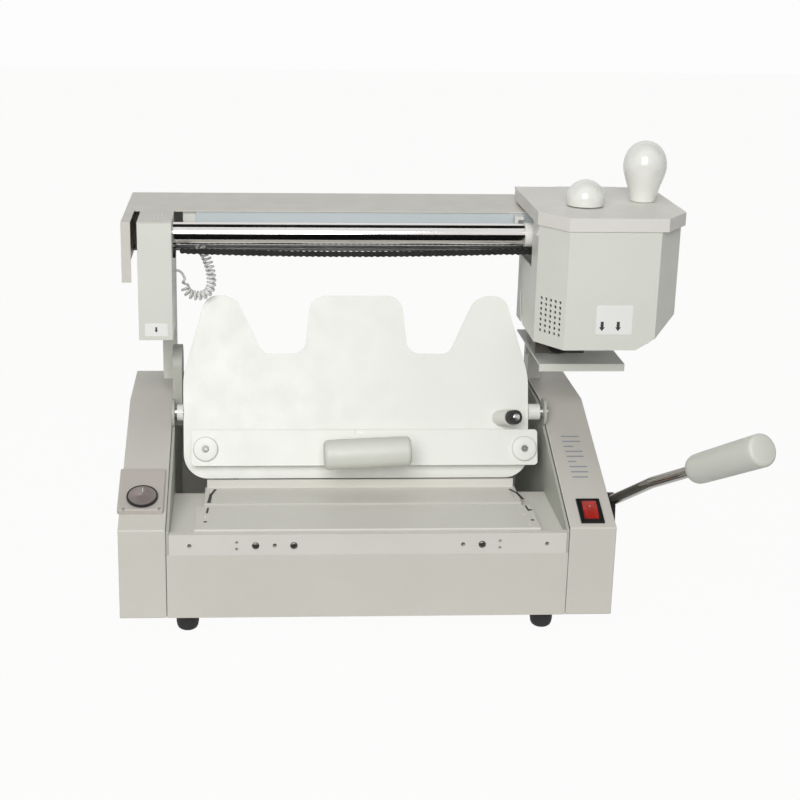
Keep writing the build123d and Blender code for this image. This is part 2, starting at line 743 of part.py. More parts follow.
# Drive chain under the rail, pinned at both ends
chain_left = column_right + 3.0
chain_right = beam_right - 6.0
first_roller = roller_x + chain_pitch / 2
rollers_left = int((first_roller - chain_left - 4.0) / chain_pitch)
rollers_right = int((chain_right - 4.0 - first_roller) / chain_pitch)
roller_places = [first_roller + chain_pitch * k for k in range(-rollers_left, rollers_right + 1)]
with BuildPart() as chain:
    for y in (rail_y - chain_width / 2, rail_y + chain_width / 2 - chain_plate):
        slab((chain_left, chain_right), (y, y + chain_plate),
             (chain_z - chain_half_height, chain_z + chain_half_height))
    with BuildSketch(front_plane(rail_y + chain_width / 2 - chain_plate)):
        with Locations(*[(x, chain_z) for x in roller_places]):
            Circle(chain_roller_radius)
    extrude(amount=chain_width - 2 * chain_plate)
    anchor_y = (rail_y - anchor_half_y, rail_y + anchor_half_y)
    slab((-side_outer, chain_left), anchor_y, (anchor_low_z, anchor_high_z))
    slab((chain_right, beam_right), anchor_y, (anchor_low_z, anchor_high_z))
keep("chain", chain)


# The curly cord: one tube whose turns are pairs of arcs between points a quarter turn apart
def biarc(p, t, q, u):
    chord = q - p
    both = t + u
    a = both.dot(both) - 4.0
    b = -2.0 * chord.dot(both)
    c = chord.dot(chord)
    root = (b * b - 4 * a * c) ** 0.5
    reach = max((b + root) / (-2 * a), (b - root) / (-2 * a))
    first = p + t * reach
    second = q - u * reach
    middle = (first + second) * 0.5
    turn = (second - first).normalized()
    return [Edge.make_tangent_arc(p, t, middle), Edge.make_tangent_arc(middle, turn, q)]


def ease(share):
    share = min(1.0, max(0.0, share))
    return share * share * (3 - 2 * share)


def curly_edges(route, side):
    total = route.length
    span = total - loop_lead - loop_tail

    def spot(turn):
        stretch = ease(turn / loop_ramp) + ease((turn - curl_count) / loop_ramp + 1)
        run = loop_lead + (span - 2 * loop_stretch) * turn / curl_count + loop_stretch * stretch
        centre = route @ (run / total)
        along = route % (run / total)
        across = (side - along * side.dot(along)).normalized()
        reach = curl_radius * ease(min(turn, curl_count - turn) / loop_ramp)
        angle = 2 * pi * turn
        return centre + across * (reach * cos(angle)) + along.cross(across) * (reach * sin(angle))

    def heading(turn):
        step = 0.001
        ahead = spot(min(turn + step, curl_count))
        behind = spot(max(turn - step, 0.0))
        return (ahead - behind).normalized()

    edges = []
    for k in range(4 * curl_count):
        here, there = k / 4, (k + 1) / 4
        edges += biarc(spot(here), heading(here), spot(there), heading(there))
    return edges


def self_gap(edges, apart):
    samples = []
    run = 0.0
    for edge in edges:
        for k in range(4):
            samples.append((run + edge.length * k / 4, edge.position_at(k / 4)))
        run += edge.length
    least = 1e9
    for i, (a, p) in enumerate(samples):
        for b, q in samples[i + 1:]:
            if apart < b - a < 6 * apart:
                least = min(least, (p - q).length)
    return least - 2 * wire_radius


loop_lead = 3.5
loop_tail = 13.0
loop_ramp = 1.5
loop_stretch = 6.0
loop_route = [
    (clip_left + 7, tray_cord_y, tray_floor_z),
    (clip_left + 7, tray_cord_y, tray_floor_z - 8),
    (clip_left + 31, cord_y + 2, tray_floor_z - 44),
    (clip_left + 31, cord_y, tray_floor_z - 77.5),
    (clip_left + 2, cord_y, tray_floor_z - 77.5),
    (clip_left + 2, cord_y, cord_exit_z),
    (column_right, cord_y, cord_exit_z),
]
loop_bends = [12, 18, 14.4, 14.4, 8.5]
with BuildPart() as curly_loop:
    with BuildLine() as loop_line:
        FilletPolyline(*loop_route, radius=loop_bends)
    loop_wire = loop_line.wires()[0]
    lead_end = loop_lead / loop_wire.length
    tail_start = 1 - loop_tail / loop_wire.length
    loop_curls = curly_edges(loop_wire, Vector(0, 1, 0))
    loop_path = Wire(
        loop_wire.trim(0, lead_end).edges() + loop_curls + loop_wire.trim(tail_start, 1).edges()
    )
    with BuildSketch(Plane(origin=loop_path @ 0, z_dir=loop_path % 0)):
        Circle(wire_radius)
    sweep(path=loop_path)
keep("curly_loop", curly_loop)
tube_volume = pi * wire_radius**2 * loop_path.length
print("curly loop length", round(loop_path.length, 1))
print("curly loop volume share", round(curly_loop.part.volume / tube_volume, 4))
print("curly loop least self gap", round(self_gap(loop_curls, 1.2 * pi * curl_radius), 2))
print("curly loop bend radii", loop_bends)

# Drip tray below the pot, held by the right post
drip_left = side_outer - 15.0
drip_right = side_outer + 78.5
drip_front = 137.0
drip_top_z = 255.7
drip_lip = 8.5
drip_flange = 2.2
with BuildPart() as drip_tray:
    slab((drip_left, drip_right), (drip_front, post_front), (drip_top_z - sheet, drip_top_z))
    slab((drip_left, drip_right), (drip_front, drip_front + sheet), (drip_top_z - drip_lip, drip_top_z))
    slab((drip_left, drip_left + sheet), (drip_front, post_front),
         (drip_top_z - drip_flange, drip_top_z))
    slab((side_outer - 4, post_outer + 10), (post_front - 3, post_front),
         (drip_top_z - 30, drip_top_z))
keep("drip_tray", drip_tray)

# Temperature controller on the left slope
controller_x = 21.5 - half
controller_y = 54.0
controller_width = 47.0
controller_length = 66.0
controller_height = 6.0
dial_x = 23.0 - half
dial_y = 41.0
dial_radius = 16.2
dial_height = 3.6
controller_plane = Plane(
    origin=(controller_x, controller_y, slope_z(controller_y)), x_dir=(1, 0, 0), z_dir=slope_left.z_dir
)
dial_plane = Plane(
    origin=(dial_x, dial_y, slope_z(dial_y)), x_dir=(1, 0, 0), z_dir=slope_left.z_dir
)
with BuildPart() as controller_box:
    with BuildSketch(controller_plane):
        RectangleRounded(controller_width, controller_length, 2.0)
    extrude(amount=controller_height)
    fillet(controller_box.faces().sort_by(Axis(controller_plane.origin, controller_plane.z_dir))[-1]
           .edges(), 1.2)
    with Locations(dial_plane):
        Cylinder(3.0 + running_gap, 60, mode=Mode.SUBTRACT)
keep("controller_box", controller_box)

with BuildPart() as controller_dial:
    with Locations(dial_plane.offset(controller_height + fit_gap)):
        Cylinder(dial_radius, dial_height, align=(Align.CENTER, Align.CENTER, Align.MIN))
    chamfer(controller_dial.edges().sort_by(Axis(dial_plane.origin, dial_plane.z_dir))[-1], 1.0)
    with Locations(dial_plane.offset(2.0)):
        Cylinder(3.0, controller_height, align=(Align.CENTER, Align.CENTER, Align.MIN))
keep("controller_dial", controller_dial)

# Mains rocker on the right slope
rocker_opening_width = bezel_width - 8.8
rocker_opening_length = bezel_length - 9.7
rocker_pin_depth = 2.0
with BuildPart() as rocker_bezel:
    with Locations(rocker_plane):
        Box(bezel_width, bezel_length, bezel_height,
            align=(Align.CENTER, Align.CENTER, Align.MIN))
        Box(housing_width, housing_length, housing_depth,
            align=(Align.CENTER, Align.CENTER, Align.MAX))
    with Locations(rocker_plane.offset(-housing_depth + 1.5)):
        Box(rocker_opening_width, rocker_opening_length, housing_depth + 4,
            align=(Align.CENTER, Align.CENTER, Align.MIN), mode=Mode.SUBTRACT)
    pin_line = rocker_plane.offset(-rocker_pin_depth)
    rod(pin_line.from_local_coords((-rocker_opening_width / 2, 0, 0)),
        pin_line.from_local_coords((rocker_opening_width / 2, 0, 0)), 1.5)
keep("rocker_bezel", rocker_bezel)

rocker_half_length = rocker_opening_length / 2 - 1.7
rocker_half_width = rocker_opening_width / 2 - 0.3
rocker_side = Plane(
    origin=rocker_plane.from_local_coords((-rocker_half_width, 0, 0)), x_dir=rocker_plane.y_dir,
    z_dir=(1, 0, 0),
)
with BuildPart() as rocker:
    with BuildSketch(rocker_side):
        with BuildLine():
            Polyline(
                (-rocker_half_length, -7.0),
                (-rocker_half_length, 1.2),
                (0, 3.2),
                (rocker_half_length, 4.4),
                (rocker_half_length, -7.0),
                close=True,
            )
        make_face()
        with Locations((0, -rocker_pin_depth)):
            Circle(1.5 + running_gap, mode=Mode.SUBTRACT)
    extrude(amount=2 * rocker_half_width)
keep("rocker", rocker)

# Glue pot: folded shell that straddles the rail and the hood
pot_plan = [
    (pot_left, shell_rear),
    (pot_left, pot_corner_y),
    (pot_front_left, pot_front),
    (pot_front_right, pot_front),
    (pot_right, pot_corner_y),
    (pot_right, shell_rear),
]
corner_start = pot_left + 101.5
corner_slope = 0.62
slot_top_z = 317.0
spine_slot = [
    (195.5, pot_bottom_z - 1),
    (206.5, pot_bottom_z - 1),
    (217.5, slot_top_z),
    (206.5, slot_top_z),
]
vent_pitch_x = 6.9
vent_pitch_z = 5.8
vent_radius = 1.8
vent_direction = Vector(pot_left - pot_front_left, pot_corner_y - pot_front, 0).normalized()
vent_plane = Plane(
    origin=((pot_left + pot_front_left) / 2, (pot_corner_y + pot_front) / 2, 317.0),
    x_dir=vent_direction * -1,
    z_dir=Vector(0, 0, 1).cross(vent_direction),
)
deck_rear = pot_rear - 2.0
knuckle = 20.0
body_knuckles = (pot_left + 23.0, pot_left + 117.0)
lid_knuckles = (pot_left + 45.0, pot_left + 95.0)


with BuildPart() as pot_body:
    walls(pot_plan, Plane.XY.offset(pot_bottom_z), pot_top_z - pot_bottom_z, sheet)
    slab((pot_left - 1, pot_right + 1), (saddle_front, shell_rear + 1), (saddle_bottom_z, pot_top_z + 1),
         Mode.SUBTRACT)
    slab((pot_left, pot_right), (saddle_front, deck_rear), (deck_z, pot_top_z))
    slab((pot_left + sheet, pot_right - sheet), (saddle_front - 1, deck_rear - sheet),
         (deck_z + sheet, pot_top_z + 1), Mode.SUBTRACT)
    prism(spine_slot, side_plane(pot_left - 1), pot_right - pot_left + 2, mode=Mode.SUBTRACT)
    prism([(corner_start - 40, pot_bottom_z - 60), (corner_start, pot_bottom_z),
           (pot_right + 10, pot_bottom_z + corner_slope * (pot_right + 10 - corner_start)),
           (pot_right + 10, pot_bottom_z - 60)],
          front_plane(shell_rear + 5), shell_rear - pot_front + 20, mode=Mode.SUBTRACT)
    with Locations(vent_plane):
        with GridLocations(vent_pitch_x, vent_pitch_z, 5, 7):
            Cylinder(vent_radius, 8.0, mode=Mode.SUBTRACT)
    for x in body_knuckles:
        slab((x, x + knuckle), (deck_rear, hinge_y), (hinge_z - hinge_radius, hinge_z))
        rod((x, hinge_y, hinge_z), (x + knuckle, hinge_y, hinge_z), hinge_radius)
    rod((pot_left, hinge_y, hinge_z), (pot_right, hinge_y, hinge_z), hinge_pin_radius, Mode.SUBTRACT)
keep("pot_body", pot_body)

lid_plan = [
    (pot_left - lid_overhang, pot_rear + lid_overhang),
    (pot_left - lid_overhang, pot_corner_y - 0.7),
    (pot_front_left - 1.0, pot_front - lid_overhang),
    (pot_front_right + 6.5, pot_front - lid_overhang),
    (pot_right + lid_overhang_right, pot_corner_y - 0.7),
    (pot_right + lid_overhang_right, pot_rear + lid_overhang),
]
with BuildPart() as pot_lid:
    walls(lid_plan, Plane.XY.offset(lid_skirt_z), lid_top_z - lid_skirt_z - sheet, sheet)
    prism(lid_plan, Plane.XY.offset(lid_top_z - sheet), sheet)
    slab((pot_left - lid_overhang - 1, pot_right + lid_overhang_right + 1),
         (pot_rear - 2, pot_rear + lid_overhang + 1), (lid_skirt_z - 1, lid_top_z - sheet),
         Mode.SUBTRACT)
    for x in lid_knuckles:
        slab((x, x + knuckle), (pot_rear, hinge_y), (hinge_z + 1, lid_top_z))
        rod((x, hinge_y, hinge_z), (x + knuckle, hinge_y, hinge_z), hinge_radius)
    rod((pot_left, hinge_y, hinge_z), (pot_right, hinge_y, hinge_z), hinge_pin_radius + running_gap,
        Mode.SUBTRACT)
keep("pot_lid", pot_lid)

with BuildPart() as lid_hinge_pin:
    rod((body_knuckles[0], hinge_y, hinge_z), (body_knuckles[1] + knuckle, hinge_y, hinge_z),
        hinge_pin_radius)
keep("lid_hinge_pin", lid_hinge_pin)

ball_x = pot_left + 54.0
ball_y = 156.0
ball_radius = 20.5
ball_centre = 8.0
ball_neck = 1.5
with BuildPart() as ball_knob:
    with Locations((ball_x, ball_y, lid_top_z + ball_centre)):
        Sphere(ball_radius)
    split(bisect_by=Plane.XY.offset(lid_top_z + ball_neck), keep=Keep.TOP)
    rod((ball_x, ball_y, lid_top_z), (ball_x, ball_y, lid_top_z + ball_neck), 8.0)
keep("ball_knob", ball_knob)

egg_x = pot_left + 123.5
egg_y = 188.0
egg_height = 65.5
egg_radius = 23.6
egg_foot = 14.0
egg_section = Plane(origin=(egg_x, egg_y, lid_top_z), x_dir=(1, 0, 0), z_dir=(0, -1, 0))
with BuildPart() as egg_knob:
    with BuildSketch(egg_section):
        with BuildLine():
            Line((0, 0), (egg_foot, 0))
            Spline((egg_foot, 0), (egg_radius, 0.56 * egg_height), (0, egg_height),
                   tangents=[(0.2, 1), (0, 1), (-1, 0)])
            Line((0, egg_height), (0, 0))
        make_face()
    revolve(axis=Axis((egg_x, egg_y, 0), (0, 0, 1)))
keep("egg_knob", egg_knob)

# Carriage: plate, bearing block on the rail, and its bushes
plate_rear = saddle_front + 1.0
plate_front = plate_rear - 3.0
tower_left = pot_left + 59.0
tower_right = pot_left + 117.0
tower_front = 95.0
tower_top_z = 400.0
tank_bottom_z = 290.0
trough_top_z = 312.0
trough_bottom_z = 267.0
trough_front = 140.0
trough_rear = 190.0
trough_left = pot_left + 5.5
trough_right = pot_left + 52.5
tank_wall = 2.0
block_left = pot_left + 15.0
block_right = pot_left + 141.0
block_front = plate_rear
block_rear = rail_y + 16.0
bush_wall = 1.0
sprocket_z = chain_z - 15.5
shaft_small = 4.0
with BuildPart() as carriage:
    slab((pot_left + sheet, pot_right - sheet), (plate_front, plate_rear), (trough_top_z, bracket_top_z))
    slab((block_left, block_right), (block_front, block_rear), (chain_z + 4, hood_underside))
    rod((pot_left, rail_y, rail_z), (pot_right, rail_y, rail_z), rail_radius + bush_wall,
        Mode.SUBTRACT)
    rod((roller_x, plate_front - 1, sprocket_z), (roller_x, plate_rear + 1, sprocket_z),
        shaft_small + running_gap, Mode.SUBTRACT)
keep("carriage", carriage)

flange_left = pot_left - 7.0
with BuildPart() as bearing_bushes:
    rod((flange_left, rail_y, rail_z), (block_left + 20, rail_y, rail_z), rail_radius + bush_wall)
    rod((block_right - 20, rail_y, rail_z), (block_right, rail_y, rail_z), rail_radius + bush_wall)
    rod((flange_left - 1, rail_y, rail_z), (pot_right, rail_y, rail_z), rail_radius + 0.07,
        Mode.SUBTRACT)
keep("bearing_bushes", bearing_bushes)

# Arms of the carriage: one takes the cord, one holds the guide roller in the rear beam
arm_width = 6.0
guide_x = pot_left + 84.0
guide_roller_radius = 11.0
guide_z = beam_top_z - beam_sheet - fit_gap - guide_roller_radius
guide_pin_radius = 4.0
with BuildPart() as carriage_arms:
    arm_x = (arm_left, arm_left + arm_width)
    slab(arm_x, (block_rear, 246), (384, 389))
    slab(arm_x, (240, 246), (389, 404.5))
    slab(arm_x, (221, 240), (397, 404.5))
    slab((guide_x - 10, guide_x + 10), (shell_rear, shell_rear + 3), (slot_top_z + 8, guide_z + 6))
    rod((guide_x, shell_rear + 3, guide_z), (guide_x, beam_front + 17, guide_z), guide_pin_radius)
keep("carriage_arms", carriage_arms)

with BuildPart() as guide_roller:
    rod((guide_x, beam_front + 2, guide_z), (guide_x, beam_front + 16, guide_z), guide_roller_radius)
    rod((guide_x, beam_front, guide_z), (guide_x, beam_front + 17, guide_z),
        guide_pin_radius + running_gap,
        Mode.SUBTRACT)
keep("guide_roller", guide_roller)

# Glue tank: a tower for the glue and a trough round the roller
heater_y = (112.0, 138.0)
heater_z = tank_bottom_z + 7.0
heater_radius = 4.0
heater_end = tower_left + 34.0
tower_plan = [
    (tower_left, plate_front),
    (tower_left, tower_front),
    (tower_right, tower_front),
    (tower_right, plate_front),
]
with BuildPart() as glue_tank:
    prism(tower_plan, Plane.XY.offset(tank_bottom_z), tower_top_z - tank_bottom_z)
    slab((trough_left, tower_left), (trough_front, trough_rear), (trough_bottom_z, trough_top_z))
    with BuildSketch(Plane.XY.offset(tank_bottom_z + 14)):
        with BuildLine():
            Polyline(*tower_plan, close=True)
        make_face()
        offset(amount=-tank_wall, kind=Kind.INTERSECTION, mode=Mode.REPLACE)
    extrude(amount=tower_top_z - tank_bottom_z, mode=Mode.SUBTRACT)
    slab((trough_left + tank_wall, trough_right), (trough_front + tank_wall, trough_rear - tank_wall),
         (trough_bottom_z - 1, trough_top_z - tank_wall), Mode.SUBTRACT)
    rod((trough_right - 1, 148, 306), (tower_left + tank_wall + 1, 148, 306), 3.0, Mode.SUBTRACT)
    rod((roller_x, trough_front - 1, roller_z), (roller_x, trough_rear + 1, roller_z),
        shaft_small + running_gap, Mode.SUBTRACT)
    for y in heater_y:
        rod((tower_left - 3, y, heater_z), (heater_end, y, heater_z), heater_radius, Mode.SUBTRACT)
keep("glue_tank", glue_tank)

probe_x = tower_right - 7.0
probe_y = 125.0
with BuildPart() as heaters:
    for y in heater_y:
        rod((tower_left - 2, y, heater_z), (heater_end, y, heater_z), heater_radius)
    rod((probe_x, probe_y, tank_bottom_z + 14), (probe_x, probe_y, tower_top_z - 4), 3.0)
keep("heaters", heaters)

# Wheels: glue roller, feed sprocket and the loop chain between them
loop_front = 126.0
loop_width = 6.0
loop_clear = 0.3
loop_thickness = 4.0
with BuildPart() as glue_roller:
    rod((roller_x, roller_front, roller_z), (roller_x, roller_rear - 1, roller_z), roller_radius)
    rod((roller_x, loop_front, roller_z), (roller_x, trough_rear, roller_z), shaft_small)
    rod((roller_x, loop_front + 0.5, roller_z), (roller_x, loop_front + loop_width - 0.5, roller_z),
        wheel_radius)
keep("glue_roller", glue_roller)

tooth_root = 13.2
tooth_tip = 17.0
sprocket_thickness = 3.4
with BuildPart() as feed_sprocket:
    with BuildSketch(front_plane(rail_y + sprocket_thickness / 2)):
        with Locations((roller_x, sprocket_z)):
            Circle(tooth_root)
            with PolarLocations(tooth_root - 1.0, sprocket_teeth, start_angle=90):
                Trapezoid(2.8, tooth_tip - tooth_root + 1.0, 79.4, rotation=-90,
                          align=(Align.CENTER, Align.MIN))
    extrude(amount=sprocket_thickness)
    rod((roller_x, loop_front, sprocket_z), (roller_x, rail_y + 5, sprocket_z), shaft_small)
    rod((roller_x, loop_front + 0.5, sprocket_z), (roller_x, loop_front + loop_width - 0.5, sprocket_z),
        wheel_radius)
keep("feed_sprocket", feed_sprocket)

loop_inner = wheel_radius + loop_clear
with BuildPart() as drive_loop:
    with BuildSketch(front_plane(loop_front + loop_width)):
        with Locations((roller_x, (sprocket_z + roller_z) / 2)):
            SlotCenterToCenter(sprocket_z - roller_z, 2 * (loop_inner + loop_thickness), rotation=90)
            SlotCenterToCenter(sprocket_z - roller_z, 2 * loop_inner, rotation=90,
                               mode=Mode.SUBTRACT)
    extrude(amount=loop_width)
keep("drive_loop", drive_loop)

# Move every piece so that the origin is the centre of the footprint, then write it
cords = ("curly_loop", "tray_cord")
boxes = [builder.part.bounding_box() for name, builder in pieces.items() if name not in cords]
shift_x = -(min(box.min.X for box in boxes) + max(box.max.X for box in boxes)) / 2
shift_y = -(min(box.min.Y for box in boxes) + max(box.max.Y for box in boxes)) / 2
print("shift", round(shift_x, 6), round(shift_y, 6))
for name, builder in pieces.items():
    placed = builder.part.moved(Location((shift_x, shift_y, 0)))
    placed.label = name
    export_step(placed, f"parts/{name}.step")
print("pieces", len(pieces))
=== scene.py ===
import bmesh
import bpy
import json
from math import acos, atan, cos, pi, radians, sin, sqrt, tan
from mathutils import Matrix, Vector

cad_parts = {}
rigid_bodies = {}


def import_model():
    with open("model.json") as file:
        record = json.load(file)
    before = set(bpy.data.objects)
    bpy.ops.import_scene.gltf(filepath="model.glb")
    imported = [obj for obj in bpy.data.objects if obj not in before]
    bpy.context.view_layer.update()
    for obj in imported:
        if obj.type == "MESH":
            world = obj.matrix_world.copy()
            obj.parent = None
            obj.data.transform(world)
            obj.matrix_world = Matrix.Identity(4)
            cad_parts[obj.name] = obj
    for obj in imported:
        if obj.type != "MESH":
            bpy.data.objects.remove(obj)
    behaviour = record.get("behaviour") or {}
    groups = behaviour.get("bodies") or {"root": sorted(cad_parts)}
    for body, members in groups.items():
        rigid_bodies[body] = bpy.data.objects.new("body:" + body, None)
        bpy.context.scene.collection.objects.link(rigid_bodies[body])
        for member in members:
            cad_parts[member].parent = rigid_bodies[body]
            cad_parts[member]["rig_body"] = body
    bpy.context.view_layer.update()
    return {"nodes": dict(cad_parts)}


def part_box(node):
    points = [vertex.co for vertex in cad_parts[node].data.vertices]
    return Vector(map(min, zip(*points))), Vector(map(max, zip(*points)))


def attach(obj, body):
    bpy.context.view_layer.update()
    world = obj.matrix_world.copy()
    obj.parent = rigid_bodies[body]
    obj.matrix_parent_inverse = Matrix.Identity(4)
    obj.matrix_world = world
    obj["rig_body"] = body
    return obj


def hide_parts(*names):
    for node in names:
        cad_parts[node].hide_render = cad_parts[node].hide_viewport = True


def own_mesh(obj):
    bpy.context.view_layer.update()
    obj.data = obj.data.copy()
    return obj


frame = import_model()
nodes = frame["nodes"]
mm = 0.001

# Places are drawn in millimetres from the middle of the casing's front edge at table height
midX = (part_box("left_cover")[0][0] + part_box("right_cover")[1][0]) / 2
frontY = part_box("front_panel")[0][1]


def at(x, y, z):
    return Vector((midX + x * mm, frontY + y * mm, z * mm))


cover = {"front": 120.0, "rear": 196.0, "run": 205.0}
cradlePivot = (-3.5, 168.0, 191.5)
slopeAngle = atan((cover["rear"] - cover["front"]) / cover["run"])  # how far the covers slope
leanAngle = radians(20)  # how far the cradle leans back


def onSlope(x, y, up=0.0):
    return at(x, y - sin(slopeAngle) * up, cover["front"] + tan(slopeAngle) * y + cos(slopeAngle) * up)


def onCradle(x, s, out=0.0):
    px, py, pz = cradlePivot
    return at(px + x, py + s * sin(leanAngle) - out * cos(leanAngle),
              pz + s * cos(leanAngle) + out * sin(leanAngle))


slopeNormal = Vector((0, -sin(slopeAngle), cos(slopeAngle)))
slopeUp = Vector((0, cos(slopeAngle), sin(slopeAngle)))
cradleNormal = Vector((0, -cos(leanAngle), sin(leanAngle)))
cradleUp = Vector((0, sin(leanAngle), cos(leanAngle)))
right = Vector((1, 0, 0))
back = Vector((0, 1, 0))
up = Vector((0, 0, 1))

# Camera
shot = {
    "picture": 800, "focal": 1575, "centre": (336, 395),
    "pitch": 17.08, "yaw": 3.23, "roll": 0.86, "place": (-120, -1488, 721),
}


def aimCamera():
    pitch, yaw, roll = (radians(shot[k]) for k in ("pitch", "yaw", "roll"))
    forward = Vector((sin(yaw) * cos(pitch), cos(yaw) * cos(pitch), -sin(pitch)))
    level = Vector((cos(yaw), -sin(yaw), 0))
    above = level.cross(forward)
    side = cos(roll) * level + sin(roll) * above
    head = -sin(roll) * level + cos(roll) * above
    data = bpy.data.cameras.new("shot")
    data.sensor_width = 36
    data.lens = shot["focal"] * 36 / shot["picture"]
    data.shift_x = 0.5 - shot["centre"][0] / shot["picture"]
    data.shift_y = shot["centre"][1] / shot["picture"] - 0.5
    data.clip_start = 0.05
    camera = bpy.data.objects.new("shot", data)
    turn = Matrix((side, head, -forward)).transposed()
    camera.matrix_world = Matrix.Translation(at(*shot["place"])) @ turn.to_4x4()
    bpy.context.scene.collection.objects.link(camera)
    bpy.context.scene.camera = camera


aimCamera()
print("camera is set")


# Finishes
def srgb(r, g, b):
    def linear(v):
        v /= 255
        return v / 12.92 if v <= 0.04045 else ((v + 0.055) / 1.055) ** 2.4
    return (linear(r), linear(g), linear(b), 1.0)


class Finish:
    def __init__(self, name, slot, rough=0.4, metal=0.0):
        self.material = bpy.data.materials.new(name)
        self.material.use_nodes = True
        self.material["recordSlot"] = slot
        self.tree = self.material.node_tree
        self.shader = self.tree.nodes["Principled BSDF"]
        self.shader.inputs["Roughness"].default_value = rough
        self.shader.inputs["Metallic"].default_value = metal
        self.place = self.tree.nodes.new("ShaderNodeTexCoord").outputs["Object"]

    def add(self, kind, **values):
        node = self.tree.nodes.new(kind)
        for key, value in values.items():
            if key in node.inputs:
                node.inputs[key].default_value = value
            else:
                setattr(node, key, value)
        return node

    def link(self, source, target):
        self.tree.links.new(source, target)

    def noise(self, scale, detail=3.0, stretch=None, roughness=0.55):
        field = self.add("ShaderNodeTexNoise")
        field.inputs["Scale"].default_value = scale
        field.inputs["Detail"].default_value = detail
        field.inputs["Roughness"].default_value = roughness
        source = self.place
        if stretch:
            mapping = self.add("ShaderNodeMapping")
            mapping.inputs["Scale"].default_value = stretch
            self.link(source, mapping.inputs["Vector"])
            source = mapping.outputs["Vector"]
        self.link(source, field.inputs["Vector"])
        return field.outputs["Fac"]

    def ramp(self, field, stops):
        node = self.add("ShaderNodeValToRGB")
        band = node.color_ramp
        while len(band.elements) < len(stops):
            band.elements.new(0.5)
        for element, (where, colour) in zip(band.elements, stops):
            element.position = where
            element.color = colour
        self.link(field, node.inputs["Fac"])
        return node.outputs["Color"]

    def spread(self, field, low, high, fromLow=0.3, fromHigh=0.7):
        node = self.add("ShaderNodeMapRange")
        node.inputs["From Min"].default_value = fromLow
        node.inputs["From Max"].default_value = fromHigh
        node.inputs["To Min"].default_value = low
        node.inputs["To Max"].default_value = high
        self.link(field, node.inputs["Value"])
        return node.outputs["Result"]

    def colour(self, source):
        self.link(source, self.shader.inputs["Base Color"])

    def roughness(self, source):
        self.link(source, self.shader.inputs["Roughness"])

    def bump(self, field, strength, distance):
        node = self.add("ShaderNodeBump")
        node.inputs["Strength"].default_value = strength
        node.inputs["Distance"].default_value = distance * mm
        self.link(field, node.inputs["Height"])
        previous = self.shader.inputs["Normal"]
        if previous.is_linked:
            self.link(previous.links[0].from_socket, node.inputs["Normal"])
        self.link(node.outputs["Normal"], previous)


def darker(colour, share):
    return tuple(v * share for v in colour[:3]) + (1.0,)


def powderCoat(name, slot, colour, rough=0.42, orangePeel=0.22):
    finish = Finish(name, slot, rough)
    cloud = finish.noise(7.0, 4.0)
    finish.colour(finish.ramp(cloud, [(0.3, darker(colour, 0.955)), (0.7, colour)]))
    finish.roughness(finish.spread(finish.noise(45.0, 4.0), rough - 0.05, rough + 0.08))
    finish.bump(finish.noise(950.0, 2.0), orangePeel, 0.06)
    finish.shader.inputs["Specular IOR Level"].default_value = 0.45
    return finish.material


def brushedMetal(name, slot, colour, rough, stretch, scratch=0.25):
    finish = Finish(name, slot, rough, 1.0)
    grain = finish.noise(220.0, 5.0, stretch)
    cloud = finish.noise(12.0, 3.0)
    finish.colour(finish.ramp(cloud, [(0.3, darker(colour, 0.86)), (0.7, colour)]))
    finish.roughness(finish.spread(grain, rough - 0.06, rough + 0.1))
    finish.bump(grain, scratch, 0.05)
    return finish.material


def mouldedPlastic(name, slot, colour, rough=0.45, grain=0.2, scale=1600.0, shade=0.93):
    finish = Finish(name, slot, rough)
    finish.colour(finish.ramp(finish.noise(18.0, 3.0), [(0.3, darker(colour, shade)), (0.7, colour)]))
    finish.roughness(finish.spread(finish.noise(80.0, 3.0), rough - 0.06, rough + 0.07))
    finish.bump(finish.noise(scale, 2.0), grain, 0.05)
    return finish.material


def castAluminium(name, slot, colour):
    finish = Finish(name, slot, 0.62, 0.85)
    finish.colour(finish.ramp(finish.noise(30.0, 6.0), [(0.25, darker(colour, 0.55)), (0.75, colour)]))
    finish.roughness(finish.spread(finish.noise(90.0, 4.0), 0.5, 0.75))
    finish.bump(finish.noise(420.0, 5.0), 0.5, 0.3)
    return finish.material


def polishedChrome(name, slot, colour, rough=0.09):
    finish = Finish(name, slot, rough, 1.0)
    streak = finish.noise(60.0, 4.0, (0.15, 1.0, 1.0))
    finish.colour(finish.ramp(streak, [(0.2, darker(colour, 0.93)), (0.8, colour)]))
    finish.roughness(finish.spread(streak, rough - 0.03, rough + 0.05))
    finish.bump(finish.noise(700.0, 3.0, (0.05, 1.0, 1.0)), 0.06, 0.02)
    return finish.material


def glossyKnob(name, slot, colour):
    finish = Finish(name, slot, 0.16)
    finish.colour(finish.ramp(finish.noise(9.0, 2.0), [(0.3, darker(colour, 0.97)), (0.7, colour)]))
    finish.roughness(finish.spread(finish.noise(35.0, 3.0), 0.12, 0.22))
    finish.bump(finish.noise(260.0, 2.0), 0.05, 0.05)
    finish.shader.inputs["Coat Weight"].default_value = 0.35
    finish.shader.inputs["Coat Roughness"].default_value = 0.06
    return finish.material


